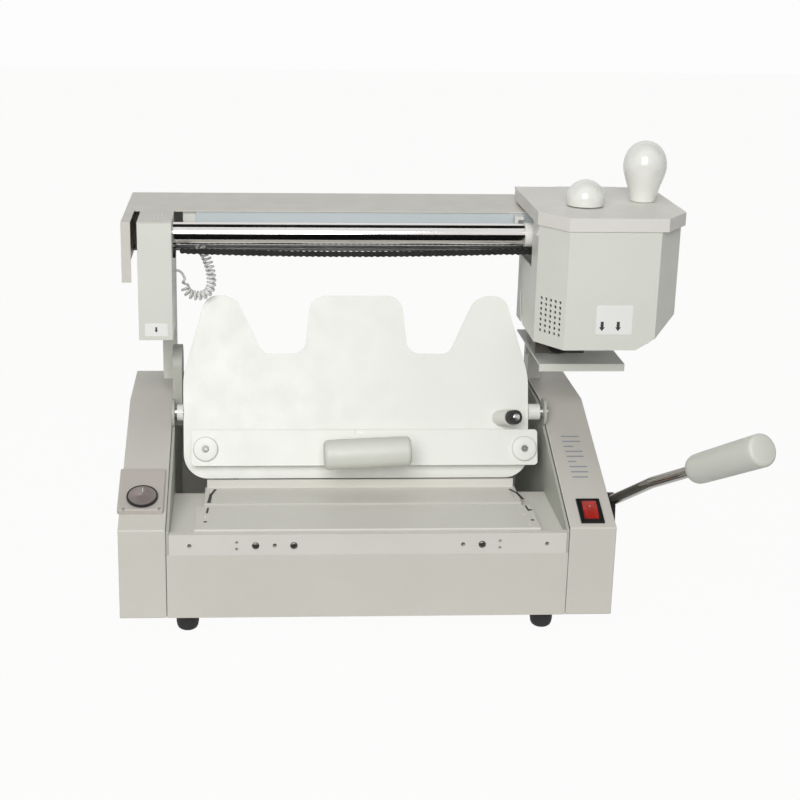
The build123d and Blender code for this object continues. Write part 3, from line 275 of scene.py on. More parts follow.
def spunDialFace(name, slot, colour, centre):
    finish = Finish(name, slot, 0.28, 0.75)
    shift = finish.add("ShaderNodeVectorMath", operation="SUBTRACT")
    finish.link(finish.place, shift.inputs[0])
    shift.inputs[1].default_value = centre
    reach = finish.add("ShaderNodeVectorMath", operation="LENGTH")
    finish.link(shift.outputs["Vector"], reach.inputs[0])
    rings = finish.add("ShaderNodeMath", operation="SINE")
    scaled = finish.add("ShaderNodeMath", operation="MULTIPLY")
    scaled.inputs[1].default_value = 9000.0
    finish.link(reach.outputs["Value"], scaled.inputs[0])
    finish.link(scaled.outputs["Value"], rings.inputs[0])
    finish.colour(finish.ramp(finish.noise(60.0, 3.0), [(0.3, darker(colour, 0.85)), (0.7, colour)]))
    finish.bump(rings.outputs["Value"], 0.35, 0.05)
    finish.shader.inputs["Anisotropic"].default_value = 0.7
    return finish.material


def redRocker(name, slot):
    finish = Finish(name, slot, 0.18)
    finish.colour(finish.ramp(finish.noise(120.0, 2.0), [(0.3, srgb(176, 34, 26)), (0.7, srgb(214, 52, 40))]))
    finish.roughness(finish.spread(finish.noise(200.0, 2.0), 0.14, 0.24))
    finish.bump(finish.noise(500.0, 2.0), 0.06, 0.04)
    finish.shader.inputs["Transmission Weight"].default_value = 0.25
    finish.shader.inputs["Coat Weight"].default_value = 0.4
    return finish.material


creamPaint = powderCoat("creamPaint", "cream_paint", srgb(214, 211, 202))
paleCream = powderCoat("paleCream", "cream_paint", srgb(222, 220, 212))
whitePaint = powderCoat("whitePaint", "white_paint", srgb(236, 237, 230), 0.36, 0.14)
columnPaint = powderCoat("columnPaint", "white_paint", srgb(224, 225, 216))
potPaint = powderCoat("potPaint", "pot_paint", srgb(226, 227, 218))
lidPaint = powderCoat("lidPaint", "pot_paint", srgb(230, 228, 221))
greyPaint = powderCoat("greyPaint", "grey_paint", srgb(186, 188, 178), 0.5)
# steel cable tray: its grey is made paler to lift it out of the shade under the hood, and tinted with a painted
# pale-blue reflection
trayPaintedLight = powderCoat("trayPaintedLight", "zinc_steel", srgb(205, 213, 216), 0.35, 0.1)
blackPaint = powderCoat("blackPaint", "black_paint", srgb(38, 37, 36), 0.38)
zincSheet = brushedMetal("zincSheet", "zinc_steel", srgb(190, 192, 190), 0.42, (0.3, 1.0, 1.0), 0.2)
brightSteel = brushedMetal("brightSteel", "bright_steel", srgb(205, 204, 202), 0.25, (0.2, 1.0, 1.0), 0.15)
railChrome = polishedChrome("railChrome", "chrome_bar", srgb(225, 222, 220))
leverChrome = polishedChrome("leverChrome", "chrome_bar", srgb(162, 159, 155), 0.07)
tankCasting = castAluminium("tankCasting", "cast_tank", srgb(120, 116, 110))
bronze = brushedMetal("bronze", "bronze", srgb(178, 140, 88), 0.4, (1.0, 1.0, 1.0))
footRubber = mouldedPlastic("footRubber", "black_rubber", srgb(34, 33, 33), 0.7, 0.35, 900.0)
blackPlastic = mouldedPlastic("blackPlastic", "black_plastic", srgb(38, 37, 38), 0.42)
whitePlastic = mouldedPlastic("whitePlastic", "white_plastic", srgb(232, 232, 226), 0.38, 0.08)
handlePlastic = mouldedPlastic("handlePlastic", "knob_plastic", srgb(218, 219, 209), 0.45, 0.25, 1300.0, 0.95)
cordSheath = mouldedPlastic("cordSheath", "cord_cover", srgb(228, 228, 226), 0.35, 0.05)
controllerShell = mouldedPlastic("controllerShell", "controller_shell", srgb(196, 190, 182), 0.34, 0.1)
knobGloss = glossyKnob("knobGloss", "knob_plastic", srgb(238, 238, 232))
rockerRed = redRocker("rockerRed", "red_plastic")
paperLabel = powderCoat("paperLabel", "white_plastic", srgb(243, 243, 240), 0.5, 0.05)
inkGrey = mouldedPlastic("inkGrey", "black_plastic", srgb(158, 162, 172), 0.6, 0.05)
screwSteel = brushedMetal("screwSteel", "zinc_steel", srgb(122, 120, 116), 0.36, (1.0, 1.0, 1.0), 0.15)
inkBlack = mouldedPlastic("inkBlack", "black_plastic", srgb(60, 60, 62), 0.6, 0.05)
print("finishes are mixed")


# Building blocks
def piece(name, mesh, finish, body, *stoodFor):
    obj = bpy.data.objects.new(name, mesh)
    bpy.context.scene.collection.objects.link(obj)
    mesh.materials.clear()
    mesh.materials.append(finish)
    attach(obj, body)
    if stoodFor:
        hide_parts(*stoodFor)
    return obj


def toMesh(bm, name, sharp=35.0):
    bmesh.ops.recalc_face_normals(bm, faces=bm.faces)
    for face in bm.faces:
        face.smooth = True
    for edge in bm.edges:
        flat = len(edge.link_faces) != 2
        edge.smooth = not flat and edge.calc_face_angle(0.0) < radians(sharp)
    mesh = bpy.data.meshes.new(name)
    bm.to_mesh(mesh)
    bm.free()
    return mesh


def weigh(obj):
    even = obj.modifiers.new("evenShading", "WEIGHTED_NORMAL")
    even.keep_sharp = True
    even.weight = 80
    return obj


def soften(bm, width, segments=3, sharpest=28.0, choose=None):
    edges = [e for e in bm.edges if len(e.link_faces) == 2
             and e.calc_face_angle(0.0) > radians(sharpest) and (choose is None or choose(e))]
    if edges:
        bmesh.ops.bevel(bm, geom=edges, offset=width * mm, segments=segments, profile=0.5,
                        affect="EDGES", clamp_overlap=True)


def fromNode(node, finish, width=0.5, segments=2, choose=None, name=None, alter=None):
    bm = bmesh.new()
    bm.from_mesh(nodes[node].data)
    bmesh.ops.remove_doubles(bm, verts=bm.verts, dist=1e-6)
    bmesh.ops.dissolve_limit(bm, angle_limit=radians(0.6), verts=bm.verts, edges=bm.edges)
    if alter:
        alter(bm)
    soften(bm, width, segments, choose=choose)
    label = name or node.replace("_", "-") + "-dressed"
    made = piece(label, toMesh(bm, label), finish, nodes[node]["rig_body"], node)
    return weigh(made)


def axes(direction, hint=None):
    z = Vector(direction).normalized()
    hint = Vector(hint) if hint else (up if abs(z.z) < 0.9 else right)
    x = hint.cross(z).normalized()
    return x, z.cross(x), z


def lathe(profile, origin, direction, sides=64):
    x, y, z = axes(direction)
    bm = bmesh.new()
    rings = []
    for radius, height in profile:
        if radius < 1e-6:
            rings.append([bm.verts.new(origin + z * height * mm)])
            continue
        rings.append([bm.verts.new(origin + z * height * mm + (x * cos(2 * pi * k / sides)
                      + y * sin(2 * pi * k / sides)) * radius * mm) for k in range(sides)])
    for low, high in zip(rings, rings[1:]):
        for k in range(sides):
            n = (k + 1) % sides
            if len(low) == 1:
                bm.faces.new((low[0], high[n], high[k]))
            elif len(high) == 1:
                bm.faces.new((low[k], low[n], high[0]))
            else:
                bm.faces.new((low[k], low[n], high[n], high[k]))
    for ring in (rings[0], rings[-1]):
        if len(ring) > 1:
            bm.faces.new(ring)
    return bm


def slabMesh(origin, x, y, z, size, width=0.3, segments=2):
    bm = bmesh.new()
    bmesh.ops.create_cube(bm, size=1.0)
    for v in bm.verts:
        v.co = (origin + x * v.co.x * size[0] * mm + y * v.co.y * size[1] * mm
                + z * (v.co.z + 0.5) * size[2] * mm)
    soften(bm, width, segments)
    return bm


def rounded(points, radii, steps=6):
    path = []
    count = len(points)
    for i, (point, radius) in enumerate(zip(points, radii)):
        here = Vector(point)
        if radius <= 0:
            path.append(here)
            continue
        before = (Vector(points[i - 1]) - here).normalized()
        after = (Vector(points[(i + 1) % count]) - here).normalized()
        half = acos(max(-1, min(1, before.dot(after)))) / 2
        centre = here + (before + after).normalized() * (radius / sin(half))
        start = here + before * (radius / tan(half)) - centre
        end = here + after * (radius / tan(half)) - centre
        sweep = pi - 2 * half
        for k in range(steps + 1):
            t = k / steps
            spot = (start * sin((1 - t) * sweep) + end * sin(t * sweep)) / sin(sweep)
            path.append(centre + spot)
    return path


def extruded(outline, origin, x, y, z, depth):
    bm = bmesh.new()
    foot = [bm.verts.new(origin + x * p[0] * mm + y * p[1] * mm) for p in outline]
    base = bm.faces.new(foot)
    top = bmesh.ops.extrude_face_region(bm, geom=[base])["geom"]
    for v in [g for g in top if isinstance(g, bmesh.types.BMVert)]:
        v.co += z * depth * mm
    return bm


def tube(points, radius, sides=14, closed=False):
    bm = bmesh.new()
    count = len(points)
    normal = None
    rings = []
    for i, point in enumerate(points):
        ahead = points[min(i + 1, count - 1)] - points[max(i - 1, 0)]
        along = ahead.normalized()
        if normal is None:
            normal = along.cross(up if abs(along.z) < 0.9 else right).normalized()
        normal = (normal - along * normal.dot(along)).normalized()
        side = along.cross(normal)
        rings.append([bm.verts.new(point + (normal * cos(2 * pi * k / sides)
                      + side * sin(2 * pi * k / sides)) * radius * mm) for k in range(sides)])
    for low, high in zip(rings, rings[1:]):
        for k in range(sides):
            n = (k + 1) % sides
            bm.faces.new((low[k], low[n], high[n], high[k]))
    bm.faces.new(rings[0])
    bm.faces.new(rings[-1])
    return bm


def merged(parts):
    whole = bmesh.new()
    for part in parts:
        mesh = bpy.data.meshes.new("part")
        part.to_mesh(mesh)
        part.free()
        whole.from_mesh(mesh)
        bpy.data.meshes.remove(mesh)
    return whole


# The cords
loopRoute = [
    (-187, 225.5, 394), (-187, 225.5, 386), (-163, 199, 350), (-163, 197, 316.5),
    (-192, 197, 316.5), (-192, 197, 345), (-203, 197, 345),
]
loopCoil = {"turns": 24, "curl": 4.15, "wire": 1.35, "lead": 3.5, "tail": 13.0, "ramp": 1.5, "stretch": 6.0}


def smoothLine(route, name):
    curve = bpy.data.curves.new(name, "CURVE")
    curve.dimensions = "3D"
    curve.resolution_u = 24
    spline = curve.splines.new("NURBS")
    spline.points.add(len(route) - 1)
    for point, place in zip(spline.points, route):
        point.co = (*at(*place), 1.0)
    spline.order_u = 3
    spline.use_endpoint_u = True
    holder = bpy.data.objects.new(name, curve)
    bpy.context.scene.collection.objects.link(holder)
    bpy.context.view_layer.update()
    mesh = bpy.data.meshes.new_from_object(holder)
    line = [v.co.copy() for v in mesh.vertices]
    bpy.data.objects.remove(holder)
    return line


class Run:
    def __init__(self, line):
        self.line = line
        self.marks = [0.0]
        for a, b in zip(line, line[1:]):
            self.marks.append(self.marks[-1] + (b - a).length)
        self.length = self.marks[-1]

    def spot(self, run):
        run = min(max(run, 0.0), self.length - 1e-9)
        k = max(i for i, m in enumerate(self.marks) if m <= run)
        share = (run - self.marks[k]) / (self.marks[k + 1] - self.marks[k])
        return self.line[k].lerp(self.line[k + 1], share)

    def heading(self, run):
        step = 0.0015
        return (self.spot(run + step) - self.spot(run - step)).normalized()


def ease(share):
    share = min(1.0, max(0.0, share))
    return share * share * (3 - 2 * share)


def curlyLoop():
    run = Run(smoothLine(loopRoute, "loopLine"))
    lead, tail, stretch = (loopCoil[k] * mm for k in ("lead", "tail", "stretch"))
    turns, ramp = loopCoil["turns"], loopCoil["ramp"]
    span = run.length - lead - tail
    points = [run.spot(lead * k / 4) for k in range(4)]
    for k in range(turns * 16 + 1):
        turn = k / 16
        eased = ease(turn / ramp) + ease((turn - turns) / ramp + 1)
        along = lead + (span - 2 * stretch) * turn / turns + stretch * eased
        heading = run.heading(along)
        across = (back - heading * back.dot(heading)).normalized()
        reach = loopCoil["curl"] * mm * ease(min(turn, turns - turn) / ramp)
        points.append(run.spot(along) + across * reach * cos(2 * pi * turn)
                      + heading.cross(across) * reach * sin(2 * pi * turn))
    points += [run.spot(run.length - tail + tail * k / 8) for k in range(1, 9)]
    mesh = toMesh(tube(points, loopCoil["wire"], 10), "curly-loop-cord", 60)
    cord = piece("curly-loop-cord", mesh, cordSheath, "base", "curly_loop")


trayCoil = {"left": -180.0, "right": 312.0, "y": 225.5, "z": 401.0, "reach": 3.1, "wire": 1.25, "pitch": 6.2}


def trayCord():
    c = trayCoil
    turns = int((c["right"] - c["left"] - 12) / c["pitch"])
    lead = 6.0
    points = [at(c["left"], c["y"], c["z"]), at(c["left"] + lead / 2, c["y"], c["z"])]
    span = c["right"] - c["left"] - 2 * lead
    for k in range(turns * 12 + 1):
        t = k / (turns * 12)
        reach = c["reach"] * ease(min(t, 1 - t) * turns / 1.5)
        angle = 2 * pi * k / 12
        points.append(at(c["left"] + lead + span * t, c["y"] + reach * cos(angle), c["z"] + reach * sin(angle)))
    points += [at(c["right"] - lead / 2, c["y"], c["z"]), at(c["right"], c["y"], c["z"])]
    mesh = toMesh(tube(points, c["wire"], 8), "tray-coil-cord", 60)
    cord = piece("tray-coil-cord", mesh, cordSheath, "base", "tray_cord")
    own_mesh(cord)


curlyLoop()
trayCord()
print("cords are laid")


# Casing: folded sheets keep their CAD shape and get rounded folds
def outerFold(node):
    low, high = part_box(node)
    close = 0.4 * mm

    def near(edge):
        a, b = (v.co for v in edge.verts)
        hits = 0
        for axis in range(3):
            for wall in (low[axis], high[axis]):
                if abs(a[axis] - wall) < close and abs(b[axis] - wall) < close:
                    hits += 1
        onRoof = all(abs((v.co - onSlope(0, 0)).dot(slopeNormal)) < close for v in edge.verts)
        return hits >= 2 or (hits >= 1 and onRoof) or (onRoof and abs(a.x - b.x) > 0.01)
    return near


fromNode("left_cover", creamPaint, 1.3, 4, outerFold("left_cover"))
fromNode("right_cover", creamPaint, 1.3, 4, outerFold("right_cover"))
fromNode("front_panel", creamPaint, 0.5)
fromNode("back_panel", creamPaint, 0.4)
fromNode("front_bar", paleCream, 0.5)
fromNode("left_column", columnPaint, 0.6, 3, outerFold("left_column"))
fromNode("hood", creamPaint, 0.6, 3, outerFold("hood"))
for thinNode, thinFinish in (
    ("side_plates", greyPaint), ("platform_table", paleCream), ("rear_jaw", paleCream),
    ("nip_plate", paleCream), ("left_post", columnPaint), ("right_post", columnPaint),
    ("rail_brackets", blackPaint),
    ("cable_tray", trayPaintedLight), ("drip_tray", columnPaint), ("rear_beam", zincSheet), ("carriage", zincSheet),
    ("carriage_arms", zincSheet), ("pot_lid", lidPaint), ("pot_body", potPaint), ("clamp_bar", whitePaint),
    ("lever_hub", blackPaint), ("controller_box", controllerShell), ("cord_clips", whitePlastic),
):
    fromNode(thinNode, thinFinish, 0.45)
fromNode("cradle_plate", whitePaint, 0.7, 3)

cadFinish = {
    "base_plate": zincSheet, "inlet": blackPlastic, "shaft_bushes": bronze, "pivot_pins": brightSteel,
    "cross_shaft": brightSteel, "nip_yokes": zincSheet, "guide_bushes": bronze, "thumb_spacer": whitePlastic,
    "guide_rods": brightSteel, "tee_screw": brightSteel, "lid_hinge_pin": brightSteel,
    "bearing_bushes": whitePlastic, "glue_tank": tankCasting, "heaters": brightSteel, "drive_loop": blackPaint,
    "feed_sprocket": brightSteel, "glue_roller": brightSteel, "guide_roller": whitePlastic,
}
for node, finish in cadFinish.items():
    mesh = nodes[node].data
    mesh.materials.clear()
    mesh.materials.append(finish)
print("casing is folded")


# Feet
footSize = {"x": 186.5, "front": 26.0, "rear": 292.0, "radius": 11.8, "height": 24.0}


def rubberFeet():
    f = footSize
    profile = [(0.0, 0.0), (f["radius"] - 6.0, 0.0), (f["radius"] - 3.6, 0.7), (f["radius"] - 1.8, 2.2),
               (f["radius"] - 0.7, 4.6), (f["radius"], 9.0), (f["radius"], f["height"])]
    parts = [lathe(profile, at(x, y, 0), up, 40) for x in (-f["x"], f["x"]) for y in (f["front"], f["rear"])]
    weigh(piece("feet-rubber", toMesh(merged(parts), "feet-rubber"), footRubber, "base", "feet"))


rubberFeet()

# Screws
frontScrews = {"x": (-115.6, -76.7, 116.4), "z": 102.8, "radius": 4.0}


def recessed(head, origin, direction, radius, height, turn):
    x, y, z = axes(direction)
    x, y = x * cos(turn) + y * sin(turn), y * cos(turn) - x * sin(turn)
    bars = []
    for a, b in ((x, y), (y, x)):
        bars.append(slabMesh(origin + z * height * 0.45 * mm, a, b, z,
                             (radius * 1.25, radius * 0.3, height), 0.02, 1))
    cutterMesh = bpy.data.meshes.new("cutter")
    cutter = merged(bars)
    bmesh.ops.recalc_face_normals(cutter, faces=cutter.faces)
    cutter.to_mesh(cutterMesh)
    cutter.free()
    bmesh.ops.recalc_face_normals(head, faces=head.faces)
    headMesh = bpy.data.meshes.new("head")
    head.to_mesh(headMesh)
    head.free()
    headObj = bpy.data.objects.new("head", headMesh)
    cutterObj = bpy.data.objects.new("cutter", cutterMesh)
    for obj in (headObj, cutterObj):
        bpy.context.scene.collection.objects.link(obj)
    cut = headObj.modifiers.new("recess", "BOOLEAN")
    cut.object = cutterObj
    cut.operation = "DIFFERENCE"
    cut.solver = "EXACT"
    cut.use_self = True
    bpy.context.view_layer.update()
    result = bpy.data.meshes.new_from_object(headObj.evaluated_get(bpy.context.evaluated_depsgraph_get()))
    bm = bmesh.new()
    bm.from_mesh(result)
    for obj in (headObj, cutterObj):
        bpy.data.objects.remove(obj)
    return bm


def panScrew(origin, direction, radius=3.2, height=1.7, turn=0.4):
    profile = [(0.0, -0.6), (radius, -0.6), (radius, height * 0.3), (radius * 0.9, height * 0.7),
               (radius * 0.6, height), (0.0, height)]
    return recessed(lathe(profile, origin, direction, 24), origin, direction, radius, height, turn)


def screwSet(name, places, finish, body, *stoodFor, radius=3.2, height=1.7):
    parts = [panScrew(origin, direction, radius, height, 0.5 + 0.7 * k)
             for k, (origin, direction) in enumerate(places)]
    return weigh(piece(name, toMesh(merged(parts), name, 30), finish, body, *stoodFor))


screwSet("front-bar-screws", [(at(x, 0, frontScrews["z"]), -back) for x in frontScrews["x"]],
         screwSteel, "base", "front_screws", radius=3.8, height=1.6)
screwSet("controller-screws", [(onSlope(x, 24.6, 6.0), slopeNormal) for x in (-250.5, -214.0)],
         zincSheet, "base", radius=1.7, height=0.7)
screwSet("column-top-screw", [(at(-222, 168, 408), up), (at(-214, 180, 408), up)], zincSheet, "base",
         radius=2.0, height=0.9)
print("screws are in")


# Rail and chain
railSize = {"left": -235.0, "right": 331.5, "y": 175.0, "z": 390.0, "radius": 12.0}


def chromedRail():
    r = railSize
    length = r["right"] - r["left"]
    profile = [(0.0, 0.0), (r["radius"] - 1.0, 0.0), (r["radius"], 1.0), (r["radius"], length - 1.0),
               (r["radius"] - 1.0, length), (0.0, length)]
    bm = lathe(profile, at(r["left"], r["y"], r["z"]), right, 96)
    piece("rail-chrome", toMesh(bm, "rail-chrome"), railChrome, "base", "rail_bar")


chainSize = {
    "y": 175.0, "z": 371.0, "pitch": 6.35, "rollers": (-64, 17), "first": 213.175, "width": 8.0,
    "plate": 1.1, "height": 5.4, "roller": 1.65, "sag": 3.0,
}


def rollerChain():
    c = chainSize
    places = [c["first"] + c["pitch"] * k for k in range(*c["rollers"])]
    left, free = places[0], 150.0

    def line(x):
        if x > free:
            return at(x, c["y"], c["z"])
        share = (x - left) / (free - left)
        return at(x, c["y"], c["z"] - 4 * c["sag"] * share * (1 - share))

    def linkPlate(a, b, y):
        along = (b - a).normalized()
        tall = back.cross(along) * -1
        half = (b - a).length / mm / 2
        big, waist = c["height"] / 2, c["height"] / 2 * 0.68
        outline = []
        for side in (1, -1):
            for k in range(7):
                angle = -pi / 2 + pi * k / 6
                outline.append((side * (half + big * cos(angle)), side * big * sin(angle)))
            outline.append((0.0, side * waist))
        middle = (a + b) / 2
        origin = Vector((middle.x, at(0, y, 0).y, middle.z))
        return extruded(outline, origin, along, tall, back, c["plate"])

    parts = []
    for k, (a, b) in enumerate(zip(places, places[1:])):
        inset = 0.0 if k % 2 else c["plate"]
        front = c["y"] - c["width"] / 2 + inset
        rear = c["y"] + c["width"] / 2 - c["plate"] - inset
        parts += [linkPlate(line(a), line(b), front), linkPlate(line(a), line(b), rear)]
    for x in places:
        spot = line(x)
        start = Vector((spot.x, at(0, c["y"] - c["width"] / 2 - 0.5, 0).y, spot.z))
        length = c["width"] + 1.0
        parts.append(lathe([(0.0, 0.0), (0.8, 0.0), (0.8, 1.9), (c["roller"], 1.9), (c["roller"], length - 1.9),
                            (0.8, length - 1.9), (0.8, length), (0.0, length)], start, back, 12))
    for x0, x1 in ((-206.5, -200.0), (319.0, 325.0)):
        parts.append(slabMesh(at((x0 + x1) / 2, 175.0, 364.5), right, back, up, (x1 - x0, 12.0, 10.0), 0.8))
    piece("drive-chain", toMesh(merged(parts), "drive-chain"), blackPaint, "base", "chain")


chromedRail()
rollerChain()
print("rail and chain are hung")


# Knobs and handles
leverParts = {
    "root": (263.0, 115.0, 99.7), "bend": (294.5, 24.7, 160.2), "heading": (0.39, -0.81, 0.49),
    "bendRadius": 30.0, "rod": 6.0, "gripStart": 70.0, "gripLength": 104.0, "grip": 16.0,
}


def sideLever():
    p = leverParts
    heading = Vector(p["heading"]).normalized()
    root, bend = at(*p["root"]), at(*p["bend"])
    end = bend + heading * (p["gripStart"] + 30) * mm
    before = (root - bend).normalized()
    half = acos(before.dot(heading)) / 2
    reach = p["bendRadius"] * mm / tan(half)
    centre = bend + (before + heading).normalized() * (p["bendRadius"] * mm / sin(half))
    start, stop = bend + before * reach - centre, bend + heading * reach - centre
    sweep = pi - 2 * half
    points = [root.lerp(bend + before * reach, k / 6) for k in range(6)]
    for k in range(13):
        t = k / 12
        points.append(centre + (start * sin((1 - t) * sweep) + stop * sin(t * sweep)) / sin(sweep))
    points += [(bend + heading * reach).lerp(end, k / 6) for k in range(1, 7)]
    piece("lever-bar", toMesh(tube(points, p["rod"], 40), "lever-bar", 50), leverChrome, "lever", "lever_rod")
    g, length = p["grip"], p["gripLength"]
    profile = [(0.0, 0.3), (6.2, 0.3), (6.6, 0.0), (g - 8.0, 0.0), (g - 4.5, 0.9), (g - 2.0, 2.8),
               (g - 1.0, 6.0), (g - 0.6, 12.0), (g - 0.1, length * 0.5),
               (g + 0.3, length - 10), (g + 0.3, length - 3.4),
               (g - 0.2, length - 1.8), (g - 1.4, length - 0.6), (g - 3.2, length), (0.0, length)]
    grip = lathe(profile, bend + heading * p["gripStart"] * mm, heading, 72)
    piece("lever-grip", toMesh(grip, "lever-grip", 60), handlePlastic, "lever", "lever_grip")


knobSizes = {"ball": (235.0, 156.0, 20.5, 8.0), "egg": (304.5, 188.0), "lid": 425.0}


def potKnobs():
    x, y, radius, centre = knobSizes["ball"]
    lid = knobSizes["lid"]
    profile = [(0.0, 0.0), (8.0, 0.0), (8.0, 1.5)]
    start = -sqrt(radius ** 2 - (centre - 1.5) ** 2)
    first = -acos(-start / radius)
    for k in range(25):
        angle = first + (pi / 2 - first) * k / 24
        profile.append((max(radius * cos(angle), 0.0), centre + radius * sin(angle)))
    profile[-1] = (0.0, centre + radius)
    ball = lathe(profile, at(x, y, lid), up, 72)
    piece("ball-knob-gloss", toMesh(ball, "ball-knob-gloss", 50), knobGloss, "lid", "ball_knob")
    x, y = knobSizes["egg"]
    outline = [(0.0, 0.0), (13.2, 0.0), (14.0, 0.8), (14.5, 4), (16.0, 11.8), (18.4, 19), (21.3, 26.8),
               (23.2, 34), (23.5, 39), (22.8, 45.8), (20.6, 52.3),
               (16.8, 58), (11.9, 62.3), (6.5, 64.7), (0.0, 65.4)]
    egg = lathe(outline, at(x, y, lid), up, 72)
    body = piece("egg-knob-gloss", toMesh(egg, "egg-knob-gloss", 50), knobGloss, "lid", "egg_knob")
    smooth = body.modifiers.new("rounding", "SUBSURF")
    smooth.levels = 1
    smooth.render_levels = 2


teeSize = {"x": 7.5, "s": -46.0, "height": 60.0, "radius": 16.0, "length": 93.0, "tilt": 2.5}


def teeHandle():
    t = teeSize
    tilt = radians(t["tilt"])
    along = right * cos(tilt) + cradleUp * sin(tilt)
    centre = onCradle(t["x"], t["s"], t["height"])
    r, length = t["radius"], t["length"]
    corner = [(r - 5 + 5 * sin(a), 5 - 5 * cos(a)) for a in (pi / 2 * k / 7 for k in range(8))]
    profile = [(0.0, 0.0)] + corner + [(r, length / 2)] + [(a, length - b) for a, b in reversed(corner)]
    profile.append((0.0, length))
    handle = lathe(profile, centre - along * length / 2 * mm, along, 64)
    piece("tee-handle-bar", toMesh(handle, "tee-handle-bar", 50), handlePlastic, "tee", "tee_handle")


guidePlaces = [(-166.0, -40.5), (183.0, -41.0)]


def bossCaps():
    front = 3.0 + 2.5 + 12.0
    caps, screws = [], []
    for x, s in guidePlaces:
        origin = onCradle(x, s, front)
        caps.append(lathe([(0.0, 0.0), (13.5, 0.0), (13.5, 3.4), (13.1, 4.4), (12.2, 5.0), (4.2, 5.0),
                           (3.9, 4.4), (0.0, 4.4)], origin, cradleNormal, 56))
        ring = [(0.0, 4.4), (3.3, 4.4), (3.3, 6.9), (2.9, 7.4), (2.0, 7.4), (1.8, 7.0), (1.8, 5.4), (0.0, 5.4)]
        screws.append(lathe(ring, origin, cradleNormal, 6 * 4))
    weigh(piece("boss-discs", toMesh(merged(caps), "boss-discs"), whitePaint, "clamp", "boss_caps"))
    weigh(piece("boss-screws", toMesh(merged(screws), "boss-screws"), screwSteel, "clamp"))


thumbAxis = (cradleNormal * cos(radians(24)) + right * sin(radians(24))).normalized()


def thumbKnob():
    seat = onCradle(160, -7, 3) + thumbAxis * 20.3 * mm
    bm = bmesh.new()
    x, y, z = axes(thumbAxis)
    sides = 108
    rows = [(7.0, 0.0), (8.0, 0.9), (8.0, 10.8), (7.0, 12.0), (5.4, 12.0), (5.0, 11.2), (0.0, 11.2)]
    rings = []
    for radius, height in rows:
        if radius == 0.0:
            rings.append([bm.verts.new(seat + z * height * mm)])
            continue
        ring = []
        for k in range(sides):
            grip = 0.45 * (0.5 - 0.5 * cos(2 * pi * k / 6)) if radius > 7.5 else 0.0
            angle = 2 * pi * k / sides
            reach = (x * cos(angle) + y * sin(angle)) * (radius - grip)
            ring.append(bm.verts.new(seat + (z * height + reach) * mm))
        rings.append(ring)
    for low, high in zip(rings, rings[1:]):
        for k in range(sides):
            n = (k + 1) % sides
            if len(high) == 1:
                bm.faces.new((low[k], low[n], high[0]))
            else:
                bm.faces.new((low[k], low[n], high[n], high[k]))
    bm.faces.new(rings[0])
    piece("thumb-knob-grip", toMesh(bm, "thumb-knob-grip", 40), blackPlastic, "thumb", "thumb_knob")
    cap = lathe([(0.0, 11.2), (4.2, 11.2), (4.2, 11.8), (3.4, 12.4), (0.0, 12.6)], seat, thumbAxis, 32)
    piece("thumb-knob-cap", toMesh(cap, "thumb-knob-cap"), brightSteel, "thumb")


sideLever()
potKnobs()
teeHandle()
bossCaps()
thumbKnob()
print("knobs are turned")


# Controller and rocker
dialSize = {"x": -232.0, "y": 41.0, "radius": 16.2, "base": 6.3, "face": 9.5}
dialMiddle = tuple(onSlope(dialSize["x"], dialSize["y"], dialSize["face"]))
dialFace = spunDialFace("dialFace", "pink_metal", srgb(182, 170, 165), dialMiddle)


def tempDial():
    d = dialSize
    origin = onSlope(d["x"], d["y"], d["base"])
    r = d["radius"]
    rim = lathe([(0.0, 0.0), (r - 0.4, 0.0), (r, 0.5), (r, 2.6), (r - 0.3, 3.2), (r - 0.9, 3.5), (r - 1.4, 3.2),
                 (r - 1.5, 2.7), (0.0, 2.7)], origin, slopeNormal, 72)
    piece("dial-rim", toMesh(rim, "dial-rim"), blackPlastic, "dial", "controller_dial")
    face = lathe([(0.0, 2.7), (r - 1.7, 2.7), (r - 2.0, 3.2), (2.0, 3.2), (1.6, 3.4), (0.0, 3.5)],
                 origin, slopeNormal, 72)
    piece("dial-face", toMesh(face, "dial-face"), dialFace, "dial")
    mark = slabMesh(origin + slopeUp * 8.4 * mm + slopeNormal * 3.15 * mm, right, slopeUp, slopeNormal,
                    (0.9, 6.5, 0.25), 0.08, 1)
    piece("dial-pointer", toMesh(mark, "dial-pointer"), whitePlastic, "dial")


rockerSize = {
    "x": 231.3, "y": 23.6, "width": 15.6, "length": 27.0, "low": 1.2, "high": 4.4, "hollow": 0.3,
    "bezel": (24.4, 36.7, 2.0),
}


